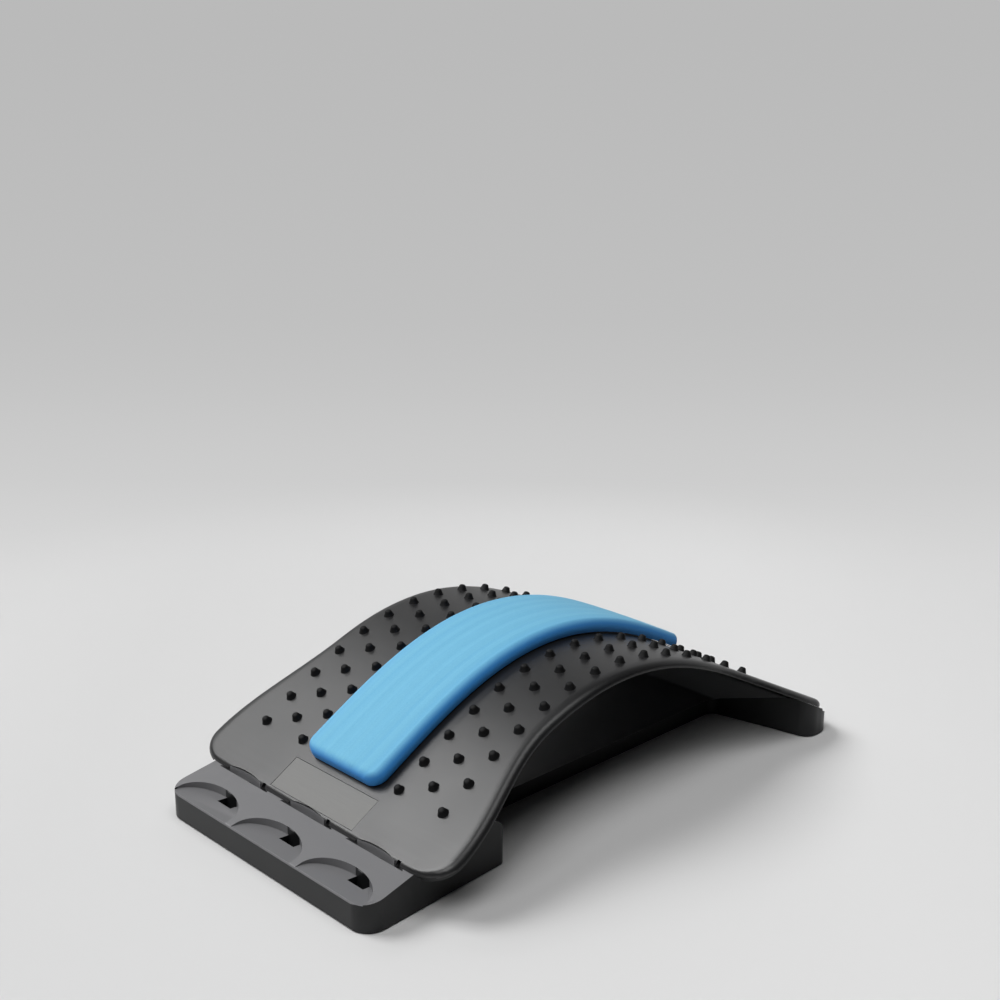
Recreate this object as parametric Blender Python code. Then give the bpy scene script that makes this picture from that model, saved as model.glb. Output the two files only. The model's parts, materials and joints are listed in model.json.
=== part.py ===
"""Arched back stretcher: a springy arch plate hooked on a flat base board.

Units are metres, +Z is up, the step block is at -X and the heel block at +X.
The arch plate is drawn flat, as it leaves the mould tool, and then laid on its arch.
"""
import math

import bmesh
import bpy
import numpy as np
from mathutils import Matrix, Vector

# Clearances, and how far a cutting tool reaches past what it cuts
CUT_MARGIN = 0.01
SEAT_GAP = 0.0003
PEG_CLEARANCE = 0.0008
RISER_CLEARANCE = 0.0014
LUG_CLEARANCE = 0.001

# Arch curve of the plate's top surface, measured along it from the front edge
ARCH_LENGTH = 0.413
FRONT_SLOPE = math.radians(29.4)
REAR_SLOPE = math.radians(27.4)
FRONT_STRAIGHT = 0.0537
REAR_STRAIGHT = 0.0789
BEND_LENGTH = ARCH_LENGTH - FRONT_STRAIGHT - REAR_STRAIGHT

# Arch plate
PLATE_THICKNESS = 0.003
WAIST_HALF_WIDTH = 0.1022
EAR_HALF_WIDTH = 0.122
EAR_FADE = 0.104
FRONT_EAR_LENGTH = 0.020
FRONT_EDGE_INSET = 0.007
REAR_CORNER = 0.014
RIM_DEPTH = 0.005
RIM_WALL = 0.0028
EDGE_RADIUS = 0.004
LIP_THICKNESS = 0.0015
RIB_HALF_SPACING = 0.034
RIB_WALL = 0.002
RIB_DEPTH = 0.0045

# Massage nubs moulded with the plate
NUB_PITCH = 0.0234
NUB_FIRST = 0.041
NUB_REAR_MARGIN = 0.062
NUB_COLUMNS = (0.0478, 0.0678, 0.0876)
NUB_RADIUS = 0.0034
NUB_TIP_RADIUS = 0.0022
NUB_TIP_INSET = 0.001
NUB_SHOULDER = 0.003
NUB_HEIGHT = 0.0042
NUB_SIDES = 8

# Foam pad and its adhesive film
PAD_START = 0.0388
PAD_LENGTH = 0.300
PAD_HALF_WIDTH = 0.0374
PAD_THICKNESS = 0.0096
PAD_ROUNDING = 0.0035
PAD_CORNER = 0.010
PAD_DRAW = 0.0005
PAD_CROWN = 0.0004
PAD_CHANNELS = 5
PAD_CHANNEL_DEPTH = 0.0003
FILM_THICKNESS = 0.0006
FILM_INSET = 0.003

# Bare name panel
PANEL_START = 0.0045
PANEL_LENGTH = 0.0245
PANEL_HALF_WIDTH = 0.041
PANEL_THICKNESS = 0.0006
PANEL_DROP = 0.0001

# Base board
BLOCK_HALF_WIDTH = 0.102
BLOCK_BACK_HALF_WIDTH = 0.095
BLOCK_LENGTH = 0.1145
BLOCK_CORNER = 0.013
BLOCK_BACK_CORNER = 0.005
BLOCK_FRONT_ROUNDING = 0.0015
BLOCK_BACK_ROUNDING = 0.014
FRONT_HEIGHT = 0.0181
RAMP_RISE = 0.2
RAMP_LENGTH = 0.072
RAMP_BLEND = 0.006
PLANK_HALF_WIDTH = 0.045
PLANK_HEIGHT = 0.012
PLANK_FILLET = 0.003
PLANK_CORNER = 0.008
HEEL_REACH = 0.006
HEEL_LENGTH = 0.044
HEEL_SLANT = 0.016
HEEL_RAKE = 0.0128
HEEL_FRONT_CORNER = 0.011
HEEL_ROUNDING = 0.003
SKIN = 0.003
RIB = 0.0025
MAX_CELL = 0.036

# Step sockets in the ramp
SOCKET_ROWS = 3
ROW_PITCH = 0.022
SOCKET_SPACING = 0.066
SCOOP_CENTRE = 0.0047
SCOOP_DEPTH = 0.017
SCOOP_HALF_WIDTH = 0.030
LANDING_HEIGHT = 0.0181
LANDING_TILT = 0.06
POCKET_LENGTH = 0.0087
HOLE_OFFSET = -0.0082
HOLE_WIDTH = 0.0144
HOLE_LENGTH = 0.0072
HOLE_RELIEF = 0.003
USED_ROW = 1

# Tongues on the plate's front edge
TONGUE_HALF_WIDTH = 0.0190
TONGUE_BITE = 0.0045
TONGUE_WALL = 0.0036
TONGUE_SPREAD = 0.0169
TONGUE_ROOT = 0.0006
PEG_REACH = 0.007
PEG_OVERLAP = 0.001
PEG_INSET = 0.0003

# Lugs on the plate's rear edge
LUG_WIDTH = 0.018
LUG_THICKNESS = 0.003
LUG_ROOT = 0.0042
LUG_REACH = 0.006
LUG_SWING = math.radians(60)
HEEL_SEAT_DROP = 0.0016
HEEL_GROOVE_REACH = 0.003
HEEL_GROOVE_DEPTH = 0.0012

# Rubber feet
FOOT_RADIUS = 0.009
FOOT_THICKNESS = 0.003
FOOT_STANDOUT = 0.001
FOOT_INSET = 0.016
FOOT_BOSS_HEIGHT = 0.008
FOOT_SEGMENTS = 24

# Steps of the faceted surfaces
STATION = NUB_PITCH / 2
ARC_STEPS = 6
FADE_STEPS = 7
BEVEL_STEPS = 3


def srgb(hex_code):
    """Linear RGBA of an sRGB hex colour."""
    channels = [int(hex_code[i:i + 2], 16) / 255 for i in (0, 2, 4)]
    linear = [c / 12.92 if c <= 0.04045 else ((c + 0.055) / 1.055) ** 2.4 for c in channels]
    return (*linear, 1.0)


def material(name, hex_code, roughness):
    """Principled material in one colour."""
    mat = bpy.data.materials.new(name)
    mat.use_nodes = True
    shader = mat.node_tree.nodes["Principled BSDF"]
    shader.inputs["Base Color"].default_value = srgb(hex_code)
    shader.inputs["Roughness"].default_value = roughness
    shader.inputs["Metallic"].default_value = 0.0
    mat.diffuse_color = srgb(hex_code)
    return mat


def clear_scene():
    """Empty the file before modelling."""
    for obj in list(bpy.data.objects):
        bpy.data.objects.remove(obj, do_unlink=True)


def new_collection(name):
    """Collection linked to the scene."""
    group = bpy.data.collections.new(name)
    bpy.context.scene.collection.children.link(group)
    return group


def mesh_object(name, mesh, group):
    """Object that shows a mesh, in one collection."""
    obj = bpy.data.objects.new(name, mesh)
    group.objects.link(obj)
    return obj


def from_bmesh(name, bm, group):
    """Object from a finished bmesh, with its faces pointing out."""
    bmesh.ops.recalc_face_normals(bm, faces=bm.faces)
    mesh = bpy.data.meshes.new(name)
    bm.to_mesh(mesh)
    bm.free()
    return mesh_object(name, mesh, group)


def make_cutter(obj):
    """Show a cutting tool as a wire only."""
    obj.hide_render = True
    obj.display_type = "WIRE"
    return obj


def apply_all(obj):
    """Replace the object's mesh by its evaluated mesh and drop its modifiers."""
    graph = bpy.context.evaluated_depsgraph_get()
    mesh = bpy.data.meshes.new_from_object(obj.evaluated_get(graph))
    obj.modifiers.clear()
    obj.data = mesh
    return obj


def boolean(obj, other, operation):
    """Cut, join or intersect obj with other and keep the result."""
    mod = obj.modifiers.new(operation.title(), "BOOLEAN")
    mod.operation = operation
    mod.object = other
    mod.solver = "EXACT"
    return apply_all(obj)


def box(name, low, high, group):
    """Box between two corners."""
    bm = bmesh.new()
    size = [b - a for a, b in zip(low, high)]
    centre = [(a + b) / 2 for a, b in zip(low, high)]
    bmesh.ops.create_cube(bm, size=1.0, matrix=Matrix.Translation(centre) @ Matrix.Diagonal((*size, 1.0)))
    return from_bmesh(name, bm, group)


def merged(name, objects, group):
    """One object that holds copies of separate, non-touching solids."""
    bm = bmesh.new()
    for obj in objects:
        bm.from_mesh(obj.data)
        bpy.data.objects.remove(obj, do_unlink=True)
    return from_bmesh(name, bm, group)


def prism(name, outline, low, high, group):
    """Solid from a closed outline in XY between two heights."""
    curve = bpy.data.curves.new(name, "CURVE")
    curve.dimensions = "2D"
    curve.fill_mode = "BOTH"
    curve.extrude = (high - low) / 2
    spline = curve.splines.new("POLY")
    spline.points.add(len(outline) - 1)
    for point, (x, y) in zip(spline.points, outline):
        point.co = (x, y, 0.0, 1.0)
    spline.use_cyclic_u = True
    guide = bpy.data.objects.new(name, curve)
    group.objects.link(guide)
    graph = bpy.context.evaluated_depsgraph_get()
    mesh = bpy.data.meshes.new_from_object(guide.evaluated_get(graph))
    bpy.data.objects.remove(guide, do_unlink=True)
    bm = bmesh.new()
    bm.from_mesh(mesh)
    bmesh.ops.remove_doubles(bm, verts=bm.verts, dist=1e-6)
    bmesh.ops.dissolve_limit(bm, angle_limit=math.radians(0.5), verts=bm.verts, edges=bm.edges)
    bmesh.ops.translate(bm, verts=bm.verts, vec=(0.0, 0.0, (low + high) / 2))
    return from_bmesh(name, bm, group)


def side_prism(name, outline, half_width, group):
    """Solid from a closed outline in XZ, centred on Y."""
    obj = prism(name, outline, -half_width, half_width, group)
    turn = Matrix(((1, 0, 0, 0), (0, 0, -1, 0), (0, 1, 0, 0), (0, 0, 0, 1)))
    obj.data.transform(turn)
    return obj


def rounded(corners):
    """Outline through (x, y, radius) corners, each rounded by an arc."""
    points = []
    count = len(corners)
    for i, (x, y, radius) in enumerate(corners):
        here = Vector((x, y))
        if radius == 0:
            points.append((x, y))
            continue
        before = (Vector(corners[i - 1][:2]) - here).normalized()
        after = (Vector(corners[(i + 1) % count][:2]) - here).normalized()
        half = before.angle(after) / 2
        centre = here + (before + after).normalized() * (radius / math.sin(half))
        start = here + before * (radius / math.tan(half)) - centre
        end = here + after * (radius / math.tan(half)) - centre
        sweep = start.angle_signed(end)
        for k in range(ARC_STEPS + 1):
            spoke = Matrix.Rotation(-sweep * k / ARC_STEPS, 2) @ start
            points.append(tuple(centre + spoke))
    return points


def mirrored(corners):
    """Corners on +Y followed by the same ones on -Y, in reverse."""
    return corners + [(x, -y, r) for x, y, r in reversed(corners)]


def slope_at(s):
    """Slope of the arch at arc length s, the shape of a strip bent between two hooks."""
    turn = np.clip((np.asarray(s) - FRONT_STRAIGHT) / BEND_LENGTH, 0.0, 1.0)
    mean = (FRONT_SLOPE - REAR_SLOPE) / 2
    swing = (FRONT_SLOPE + REAR_SLOPE) / 2
    return mean + swing * np.cos(math.pi * turn)


def riser_x(row):
    """Distance of a socket row's riser behind the block's front face."""
    return SCOOP_CENTRE + SCOOP_DEPTH + ROW_PITCH * row


def landing_height(row, x):
    """Height of a socket row's landing, which falls away towards its riser."""
    return LANDING_HEIGHT + RAMP_RISE * ROW_PITCH * row - LANDING_TILT * (x - ROW_PITCH * row)


def ramp_height(x):
    """Height of the ramp at a distance behind the block's front face."""
    return FRONT_HEIGHT + RAMP_RISE * x


TONGUE_BACK = riser_x(USED_ROW) - RISER_CLEARANCE
EDGE_X = TONGUE_BACK - TONGUE_WALL - TONGUE_BITE * math.cos(FRONT_SLOPE)
EDGE_Z = ramp_height(EDGE_X) + LIP_THICKNESS + SEAT_GAP

SAMPLES = np.linspace(-FRONT_EAR_LENGTH, ARCH_LENGTH + FRONT_EAR_LENGTH, 2001)
SAMPLE_STEP = SAMPLES[1] - SAMPLES[0]


def integrate(rate):
    """Running trapezium sum that is zero at the plate's front edge."""
    total = np.concatenate([[0.0], np.cumsum((rate[1:] + rate[:-1]) / 2) * SAMPLE_STEP])
    return total - np.interp(0.0, SAMPLES, total)


ARCH_X = EDGE_X + integrate(np.cos(slope_at(SAMPLES)))
ARCH_Z = EDGE_Z + integrate(np.sin(slope_at(SAMPLES)))


def on_arch(s, h):
    """X from the block's front face and Z, at arc length s and height h off the top surface."""
    slope = slope_at(s)
    x = np.interp(s, SAMPLES, ARCH_X) - h * np.sin(slope)
    z = np.interp(s, SAMPLES, ARCH_Z) + h * np.cos(slope)
    return x, z


PIVOT_X, PIVOT_Z = (float(v) for v in on_arch(ARCH_LENGTH - RIM_WALL / 2, -RIM_DEPTH))
BASE_LENGTH = float(on_arch(ARCH_LENGTH, 0.0)[0]) + HEEL_REACH
FRONT_X = -BASE_LENGTH / 2
HEEL_X = BASE_LENGTH - HEEL_LENGTH
PIVOT = Vector((FRONT_X + PIVOT_X, 0.0, PIVOT_Z))


def heel_top(x):
    """Height of the heel's top, parallel to the plate's rear slope."""
    return PIVOT_Z - HEEL_SEAT_DROP + (PIVOT_X - x) * math.tan(REAR_SLOPE)


BOARD_TOP = max(ramp_height(RAMP_LENGTH), heel_top(HEEL_X) + HEEL_GROOVE_DEPTH)


def to_world(obj):
    """Shift a mesh drawn from the block's front face to the centred frame."""
    obj.data.transform(Matrix.Translation((FRONT_X, 0.0, 0.0)))
    return obj


def set_origin(obj, point):
    """Move the object's origin to a point and leave its mesh where it is."""
    obj.data.transform(Matrix.Translation(-Vector(point)))
    obj.location = point
    return obj


def slice_along(obj, start, end, step):
    """Add cross cuts to a flat mesh so that it can follow the arch."""
    bm = bmesh.new()
    bm.from_mesh(obj.data)
    for k in range(int((end - start) / step) + 1):
        geometry = bm.verts[:] + bm.edges[:] + bm.faces[:]
        bmesh.ops.bisect_plane(bm, geom=geometry, plane_co=(start + k * step, 0, 0), plane_no=(1, 0, 0),
                               dist=1e-6)
    bmesh.ops.triangulate(bm, faces=bm.faces)
    bm.to_mesh(obj.data)
    bm.free()
    return obj


def lay_on_arch(obj):
    """Carry every vertex (s, y, h) of a flat mesh to its place on the arch."""
    count = len(obj.data.vertices)
    flat = np.empty(count * 3)
    obj.data.vertices.foreach_get("co", flat)
    flat = flat.reshape(count, 3)
    x, z = on_arch(flat[:, 0], flat[:, 2])
    bent = np.stack([x, flat[:, 1], z], axis=1)
    obj.data.vertices.foreach_set("co", bent.ravel())
    obj.data.update()
    return obj


def corner_drop(radius, distance):
    """How far a rounded corner still lies inside, at a distance from the end that it rounds."""
    short = max(0.0, radius - distance)
    return radius - math.sqrt(radius * radius - short * short)


def ear_fade(distance):
    """Half width at a distance from an ear's widest place towards the waist."""
    share = min(1.0, max(0.0, distance) / EAR_FADE)
    blend = (1.0 + math.cos(math.pi * share)) / 2
    return WAIST_HALF_WIDTH + (EAR_HALF_WIDTH - WAIST_HALF_WIDTH) * blend


def plate_half_width(s):
    """Half width of the plate: oval ears in front, a waist, and ears that match the heel's corners."""
    if s < FRONT_EAR_LENGTH:
        depth = EAR_HALF_WIDTH - BLOCK_HALF_WIDTH + FRONT_EDGE_INSET
        return EAR_HALF_WIDTH - depth * corner_drop(FRONT_EAR_LENGTH, s) / FRONT_EAR_LENGTH
    if s > ARCH_LENGTH - REAR_CORNER:
        return EAR_HALF_WIDTH - corner_drop(REAR_CORNER, ARCH_LENGTH - s)
    return max(ear_fade(s - FRONT_EAR_LENGTH), ear_fade(ARCH_LENGTH - REAR_CORNER - s))


def arc_stations(length):
    """Distances from an end that step evenly round a quarter circle of this size."""
    return [length * (1 - math.cos(math.pi / 2 * k / ARC_STEPS)) for k in range(ARC_STEPS)]


def plate_outline(inset):
    """Closed outline of the flat plate, moved inwards by inset."""
    fade = [EAR_FADE * k / FADE_STEPS for k in range(FADE_STEPS + 1)]
    front = arc_stations(FRONT_EAR_LENGTH) + [FRONT_EAR_LENGTH + s for s in fade]
    rear = arc_stations(REAR_CORNER) + [REAR_CORNER + s for s in fade]
    stations = front + [ARCH_LENGTH - s for s in reversed(rear)]
    side = [Vector((s, plate_half_width(s))) for s in stations]
    moved = []
    for i, point in enumerate(side):
        before = side[max(i - 1, 0)]
        after = side[min(i + 1, len(side) - 1)]
        along = (after - before).normalized()
        moved.append(point + Vector((along.y, -along.x)) * inset)
    moved[0] = Vector((inset, moved[0].y))
    moved[-1] = Vector((ARCH_LENGTH - inset, moved[-1].y))
    upper = [(p.x, p.y) for p in moved]
    lower = [(x, -y) for x, y in reversed(upper)]
    return upper + lower


def round_top_edge(obj, radius):
    """Round the edge between the top face and the side wall."""
    bm = bmesh.new()
    bm.from_mesh(obj.data)
    crease = math.radians(30)
    top = [e for e in bm.edges if all(abs(v.co.z) < 1e-7 for v in e.verts)
           and len(e.link_faces) == 2 and e.calc_face_angle() > crease]
    bmesh.ops.bevel(bm, geom=top, offset=radius, segments=BEVEL_STEPS, affect="EDGES", profile=0.5)
    bm.to_mesh(obj.data)
    bm.free()
    return obj


def nub_places():
    """Arc length and side position of each nub; the middle columns sit half a pitch on."""
    places = []
    for column, y in enumerate(NUB_COLUMNS):
        s = NUB_FIRST + NUB_PITCH / 2 * (column % 2)
        while s < ARCH_LENGTH - NUB_REAR_MARGIN:
            places += [(s, y), (s, -y)]
            s += NUB_PITCH
    return places


def nub_solids(group):
    """All nubs as flat-laid cones with rounded tips, rooted in the plate."""
    bm = bmesh.new()
    root = PLATE_THICKNESS / 2
    for s, y in nub_places():
        place = Matrix.Translation((s, y, (NUB_SHOULDER - root) / 2))
        made = bmesh.ops.create_cone(bm, cap_ends=True, segments=NUB_SIDES, radius1=NUB_RADIUS,
                                     radius2=NUB_TIP_RADIUS, depth=NUB_SHOULDER + root, matrix=place)
        top = [v for v in made["verts"] if v.co.z > NUB_SHOULDER - 1e-6]
        cap = next(f for f in top[0].link_faces if all(v in top for v in f.verts))
        bmesh.ops.inset_individual(bm, faces=[cap], thickness=NUB_TIP_INSET)
        bmesh.ops.translate(bm, verts=cap.verts, vec=(0, 0, NUB_HEIGHT - NUB_SHOULDER))
    return from_bmesh("nub_solids", bm, group)


def tongue_centres():
    """Side positions of the three tongues and of the sockets in each row."""
    return [SOCKET_SPACING * k for k in (-1, 0, 1)]


def bite_cutters(group):
    """Half-oval bites in the plate's front edge, one over each tongue."""
    bites = []
    for y in tongue_centres():
        turns = np.linspace(-math.pi / 2, math.pi / 2, 2 * ARC_STEPS + 1)
        oval = [(TONGUE_BITE * math.cos(a), y + TONGUE_HALF_WIDTH * math.sin(a)) for a in turns]
        outside = [(-CUT_MARGIN, y + TONGUE_HALF_WIDTH), (-CUT_MARGIN, y - TONGUE_HALF_WIDTH)]
        bites.append(prism("bite", oval + outside, -RIM_DEPTH - CUT_MARGIN, CUT_MARGIN, group))
    return merged("bite_cutters", bites, group)


def lip_wedge(cutters):
    """Wedge that feathers the underside of the front lip until it lies on the ramp."""
    fall = math.tan(FRONT_SLOPE - math.atan(RAMP_RISE))
    start = -LIP_THICKNESS * math.sin(FRONT_SLOPE)
    under = -LIP_THICKNESS * math.cos(FRONT_SLOPE)
    reach = FRONT_EAR_LENGTH
    outline = [(start - reach, under + fall * reach), (start - reach, under - fall * reach),
               (start + reach, under - fall * reach)]
    return side_prism("lip_wedge", outline, BLOCK_HALF_WIDTH + SEAT_GAP, cutters)


def flat_plate(group, cutters):
    """The plate as moulded: skin, rim, ribs, nubs and the name panel's recess."""
    plate = prism("arch_plate", plate_outline(0.0), -RIM_DEPTH, 0.0, group)
    round_top_edge(plate, EDGE_RADIUS)
    below = -RIM_DEPTH - CUT_MARGIN
    hollow = prism("plate_hollow", plate_outline(RIM_WALL), below, -PLATE_THICKNESS, cutters)
    boolean(plate, hollow, "DIFFERENCE")
    front = BLOCK_HALF_WIDTH + RIM_WALL
    open_front = box("open_front", (-CUT_MARGIN, -front, below), (FRONT_EAR_LENGTH, front, -PLATE_THICKNESS),
                     cutters)
    boolean(plate, open_front, "DIFFERENCE")
    boolean(plate, lip_wedge(cutters), "DIFFERENCE")
    boolean(plate, bite_cutters(cutters), "DIFFERENCE")
    for side in (-1, 1):
        y = side * RIB_HALF_SPACING
        rib = box("rib", (FRONT_STRAIGHT, y - RIB_WALL / 2, -PLATE_THICKNESS - RIB_DEPTH),
                  (FRONT_STRAIGHT + BEND_LENGTH, y + RIB_WALL / 2, -PLATE_THICKNESS / 2), cutters)
        boolean(plate, rib, "UNION")
    boolean(plate, nub_solids(cutters), "UNION")
    depth = PANEL_DROP + PANEL_THICKNESS + SEAT_GAP
    recess = box("panel_recess", (PANEL_START, -PANEL_HALF_WIDTH, -depth),
                 (PANEL_START + PANEL_LENGTH, PANEL_HALF_WIDTH, CUT_MARGIN), cutters)
    boolean(plate, recess, "DIFFERENCE")
    return plate


def tongue_band(y, low, high, inset=0.0):
    """Plan of the curved wall behind a bite, between two side offsets from its middle."""
    bite = TONGUE_BITE * math.cos(FRONT_SLOPE)
    front = []
    for offset in np.linspace(low, high, 9):
        depth = bite * math.sqrt(1 - (offset / TONGUE_HALF_WIDTH) ** 2)
        front.append((EDGE_X + depth + inset, y + float(offset)))
    return front + [(x + TONGUE_WALL - 2 * inset, side) for x, side in reversed(front)]


def tongue_solids(y, cutters):
    """Curved wall that drops from one bite onto its landing, and the peg below it."""
    floor = landing_height(USED_ROW, EDGE_X) + SEAT_GAP
    wall = prism("tongue", tongue_band(y, -TONGUE_SPREAD, TONGUE_SPREAD), floor,
                 EDGE_Z + TONGUE_ROOT, cutters)
    side = HOLE_WIDTH / 2 - PEG_CLEARANCE
    peg = prism("peg", tongue_band(y, HOLE_OFFSET - side, HOLE_OFFSET + side, PEG_INSET),
                floor - PEG_REACH, floor + PEG_OVERLAP, cutters)
    return wall, peg


def hole_span(row, y):
    """Low and high X, then low and high Y, of a locking hole."""
    back = riser_x(row)
    centre = y + HOLE_OFFSET
    return back - HOLE_LENGTH, back, centre - HOLE_WIDTH / 2, centre + HOLE_WIDTH / 2


def rear_lug(y, cutters):
    """Lug under the rear rim that keeps the plate in the heel."""
    return box("lug", (PIVOT_X - LUG_THICKNESS, y - LUG_WIDTH / 2, PIVOT_Z - LUG_REACH),
               (PIVOT_X, y + LUG_WIDTH / 2, PIVOT_Z + LUG_ROOT), cutters)


def arch_plate(group, cutters):
    """Plate laid on its arch, with its tongues and lugs."""
    plate = flat_plate(group, cutters)
    slice_along(plate, NUB_FIRST - 1.5 * STATION, ARCH_LENGTH - STATION / 2, STATION)
    lay_on_arch(plate)
    for y in tongue_centres():
        for solid in (*tongue_solids(y, cutters), rear_lug(y, cutters)):
            boolean(plate, solid, "UNION")
    return plate


def pad_ring(s, half_width, thickness):
    """Cross section of the pad at one station, from the right foot over the crowned top."""
    steps = 4 * PAD_CHANNELS
    flat = half_width - PAD_ROUNDING
    shoulder = thickness - PAD_CROWN - PAD_ROUNDING
    turns = [math.pi / 2 * k / BEVEL_STEPS for k in range(BEVEL_STEPS)]
    right = [(s, -flat - PAD_ROUNDING * math.cos(t), shoulder + PAD_ROUNDING * math.sin(t)) for t in turns]
    top = []
    for k in range(steps + 1):
        across = -1 + 2 * k / steps
        crown = PAD_CROWN * (1 - across * across)
        channel = PAD_CHANNEL_DEPTH * (1 + math.cos(2 * math.pi * PAD_CHANNELS * k / steps)) / 2
        top.append((s, flat * across, shoulder + PAD_ROUNDING + crown - channel))
    left = [(s, -y, z) for s, y, z in reversed(right)]
    foot = half_width - PAD_DRAW
    return right + top + left + [(s, foot, 0.0), (s, -foot, 0.0)]


def spine_pad(group):
    """Foam pad: rounded corners and top edges, a slight crown and shallow lengthwise channels."""
    base = FILM_THICKNESS + 2 * SEAT_GAP
    corner = arc_stations(PAD_CORNER)
    straight = PAD_LENGTH - 2 * PAD_CORNER
    count = math.ceil(straight / STATION)
    middle = [PAD_CORNER + straight * k / count for k in range(count + 1)]
    stations = corner + middle + [PAD_LENGTH - s for s in reversed(corner)]
    bm = bmesh.new()
    rings = []
    for s in stations:
        from_end = min(s, PAD_LENGTH - s)
        width = PAD_HALF_WIDTH - corner_drop(PAD_CORNER, from_end)
        height = PAD_THICKNESS - corner_drop(PAD_ROUNDING, from_end)
        ring = pad_ring(PAD_START + s, width, height)
        rings.append([bm.verts.new((x, y, base + h)) for x, y, h in ring])
    for first, second in zip(rings, rings[1:]):
        for i in range(len(first)):
            j = (i + 1) % len(first)
            bm.faces.new((first[i], first[j], second[j], second[i]))
    bm.faces.new(rings[0])
    bm.faces.new(rings[-1])
    bmesh.ops.triangulate(bm, faces=bm.faces)
    return lay_on_arch(from_bmesh("spine_pad", bm, group))


def pad_film(group):
    """Double-sided film that holds the pad on the plate."""
    low = PAD_START + FILM_INSET
    high = PAD_START + PAD_LENGTH - FILM_INSET
    side = PAD_HALF_WIDTH - FILM_INSET
    corner = PAD_CORNER - FILM_INSET
    outline = rounded([(low, side, corner), (high, side, corner), (high, -side, corner), (low, -side, corner)])
    film = prism("pad_film", outline, SEAT_GAP, SEAT_GAP + FILM_THICKNESS, group)
    slice_along(film, low + STATION, high - STATION, STATION)
    return lay_on_arch(film)


def name_panel(group):
    """Plain panel in its recess on the flat front of the plate, left bare."""
    side = PANEL_HALF_WIDTH - SEAT_GAP
    panel = box("name_panel", (PANEL_START + SEAT_GAP, -side, -PANEL_DROP - PANEL_THICKNESS),
                (PANEL_START + PANEL_LENGTH - SEAT_GAP, side, -PANEL_DROP), group)
    return lay_on_arch(panel)


def base_outline():
    """Plan of the base board: step block, narrow plank and wide heel block."""
    return rounded(mirrored([
        (0.0, BLOCK_HALF_WIDTH, BLOCK_CORNER),
        (BLOCK_LENGTH, BLOCK_BACK_HALF_WIDTH, BLOCK_BACK_CORNER),
        (BLOCK_LENGTH, PLANK_HALF_WIDTH, PLANK_CORNER),
        (HEEL_X, PLANK_HALF_WIDTH, PLANK_CORNER),
        (HEEL_X + HEEL_SLANT, EAR_HALF_WIDTH, HEEL_FRONT_CORNER),
        (BASE_LENGTH, EAR_HALF_WIDTH, REAR_CORNER),
    ]))


def base_profile():
    """Side view of the base board from the front wall to the heel."""
    bottom = FOOT_STANDOUT
    ramp_top = ramp_height(RAMP_LENGTH)
    heel_front = HEEL_X + HEEL_RAKE
    groove = PIVOT_X - HEEL_GROOVE_REACH
    return rounded([
        (0.0, bottom, 0.0),
        (0.0, FRONT_HEIGHT, BLOCK_FRONT_ROUNDING),
        (RAMP_LENGTH, ramp_top, RAMP_BLEND),
        (BLOCK_LENGTH, ramp_top, BLOCK_BACK_ROUNDING),
        (BLOCK_LENGTH, PLANK_HEIGHT, PLANK_FILLET),
        (HEEL_X, PLANK_HEIGHT, PLANK_FILLET),
        (heel_front, heel_top(heel_front) + HEEL_GROOVE_DEPTH, HEEL_ROUNDING),
        (groove, heel_top(groove) + HEEL_GROOVE_DEPTH, 0.0),
        (groove, heel_top(groove), 0.0),
        (BASE_LENGTH, heel_top(BASE_LENGTH), HEEL_ROUNDING),
        (BASE_LENGTH, bottom, 0.0),
    ])


def scoop_cutter(row, y, cutters):
    """Half-oval pocket with an upright riser; the first row's is open to the front."""
    centre = SCOOP_CENTRE + ROW_PITCH * row
    depth = SCOOP_DEPTH if row == 0 else POCKET_LENGTH
    reach = math.acos(1 - depth / SCOOP_DEPTH)
    outline = [(centre + SCOOP_DEPTH * math.cos(a), y + SCOOP_HALF_WIDTH * math.sin(a))
               for a in np.linspace(-reach, reach, 2 * ARC_STEPS + 5)]
    if row == 0:
        outline += [(-CUT_MARGIN, y + SCOOP_HALF_WIDTH), (-CUT_MARGIN, y - SCOOP_HALF_WIDTH)]
    above = BOARD_TOP + CUT_MARGIN
    scoop = prism("scoop", outline, landing_height(row, 0.0), above, cutters)
    tilt = Matrix.Identity(4)
    tilt[2][0] = -LANDING_TILT
    scoop.data.transform(tilt)
    return scoop


def hole_cutter(row, y, cutters):
    """Locking hole at the foot of a riser, for a tongue's peg."""
    low_x, high_x, low_y, high_y = hole_span(row, y)
    floor = landing_height(row, high_x)
    return box("hole", (low_x, low_y, floor - 2 * SKIN), (high_x, high_y, floor + HOLE_RELIEF), cutters)


def lug_socket(y, cutters):
    """Slot in the heel, long enough for a lug to swing forward in it."""
    swing = LUG_REACH * math.sin(LUG_SWING)
    low = (PIVOT_X - LUG_THICKNESS - swing - LUG_CLEARANCE, y - LUG_WIDTH / 2 - LUG_CLEARANCE,
           PIVOT_Z - LUG_REACH - LUG_CLEARANCE)
    high = (PIVOT_X + LUG_CLEARANCE, y + LUG_WIDTH / 2 + LUG_CLEARANCE, BOARD_TOP)
    return box("lug_socket", low, high, cutters)


def split(low, high):
    """Equal spans under the largest cell, with a rib between neighbours."""
    count = math.ceil((high - low) / MAX_CELL)
    pitch = (high - low + RIB) / count
    return [(low + k * pitch, low + (k + 1) * pitch - RIB) for k in range(count)]


def socket_bays():
    """Spans across the block: each socket has a bay for its hole and a bay beside it."""
    limit = BLOCK_BACK_HALF_WIDTH - SKIN
    half = SOCKET_SPACING / 2
    bays = []
    for y in tongue_centres():
        bays.append((max(y - half + RIB / 2, -limit), y))
        bays.append((y + RIB, min(y + half - RIB / 2, limit)))
    return bays


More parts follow.
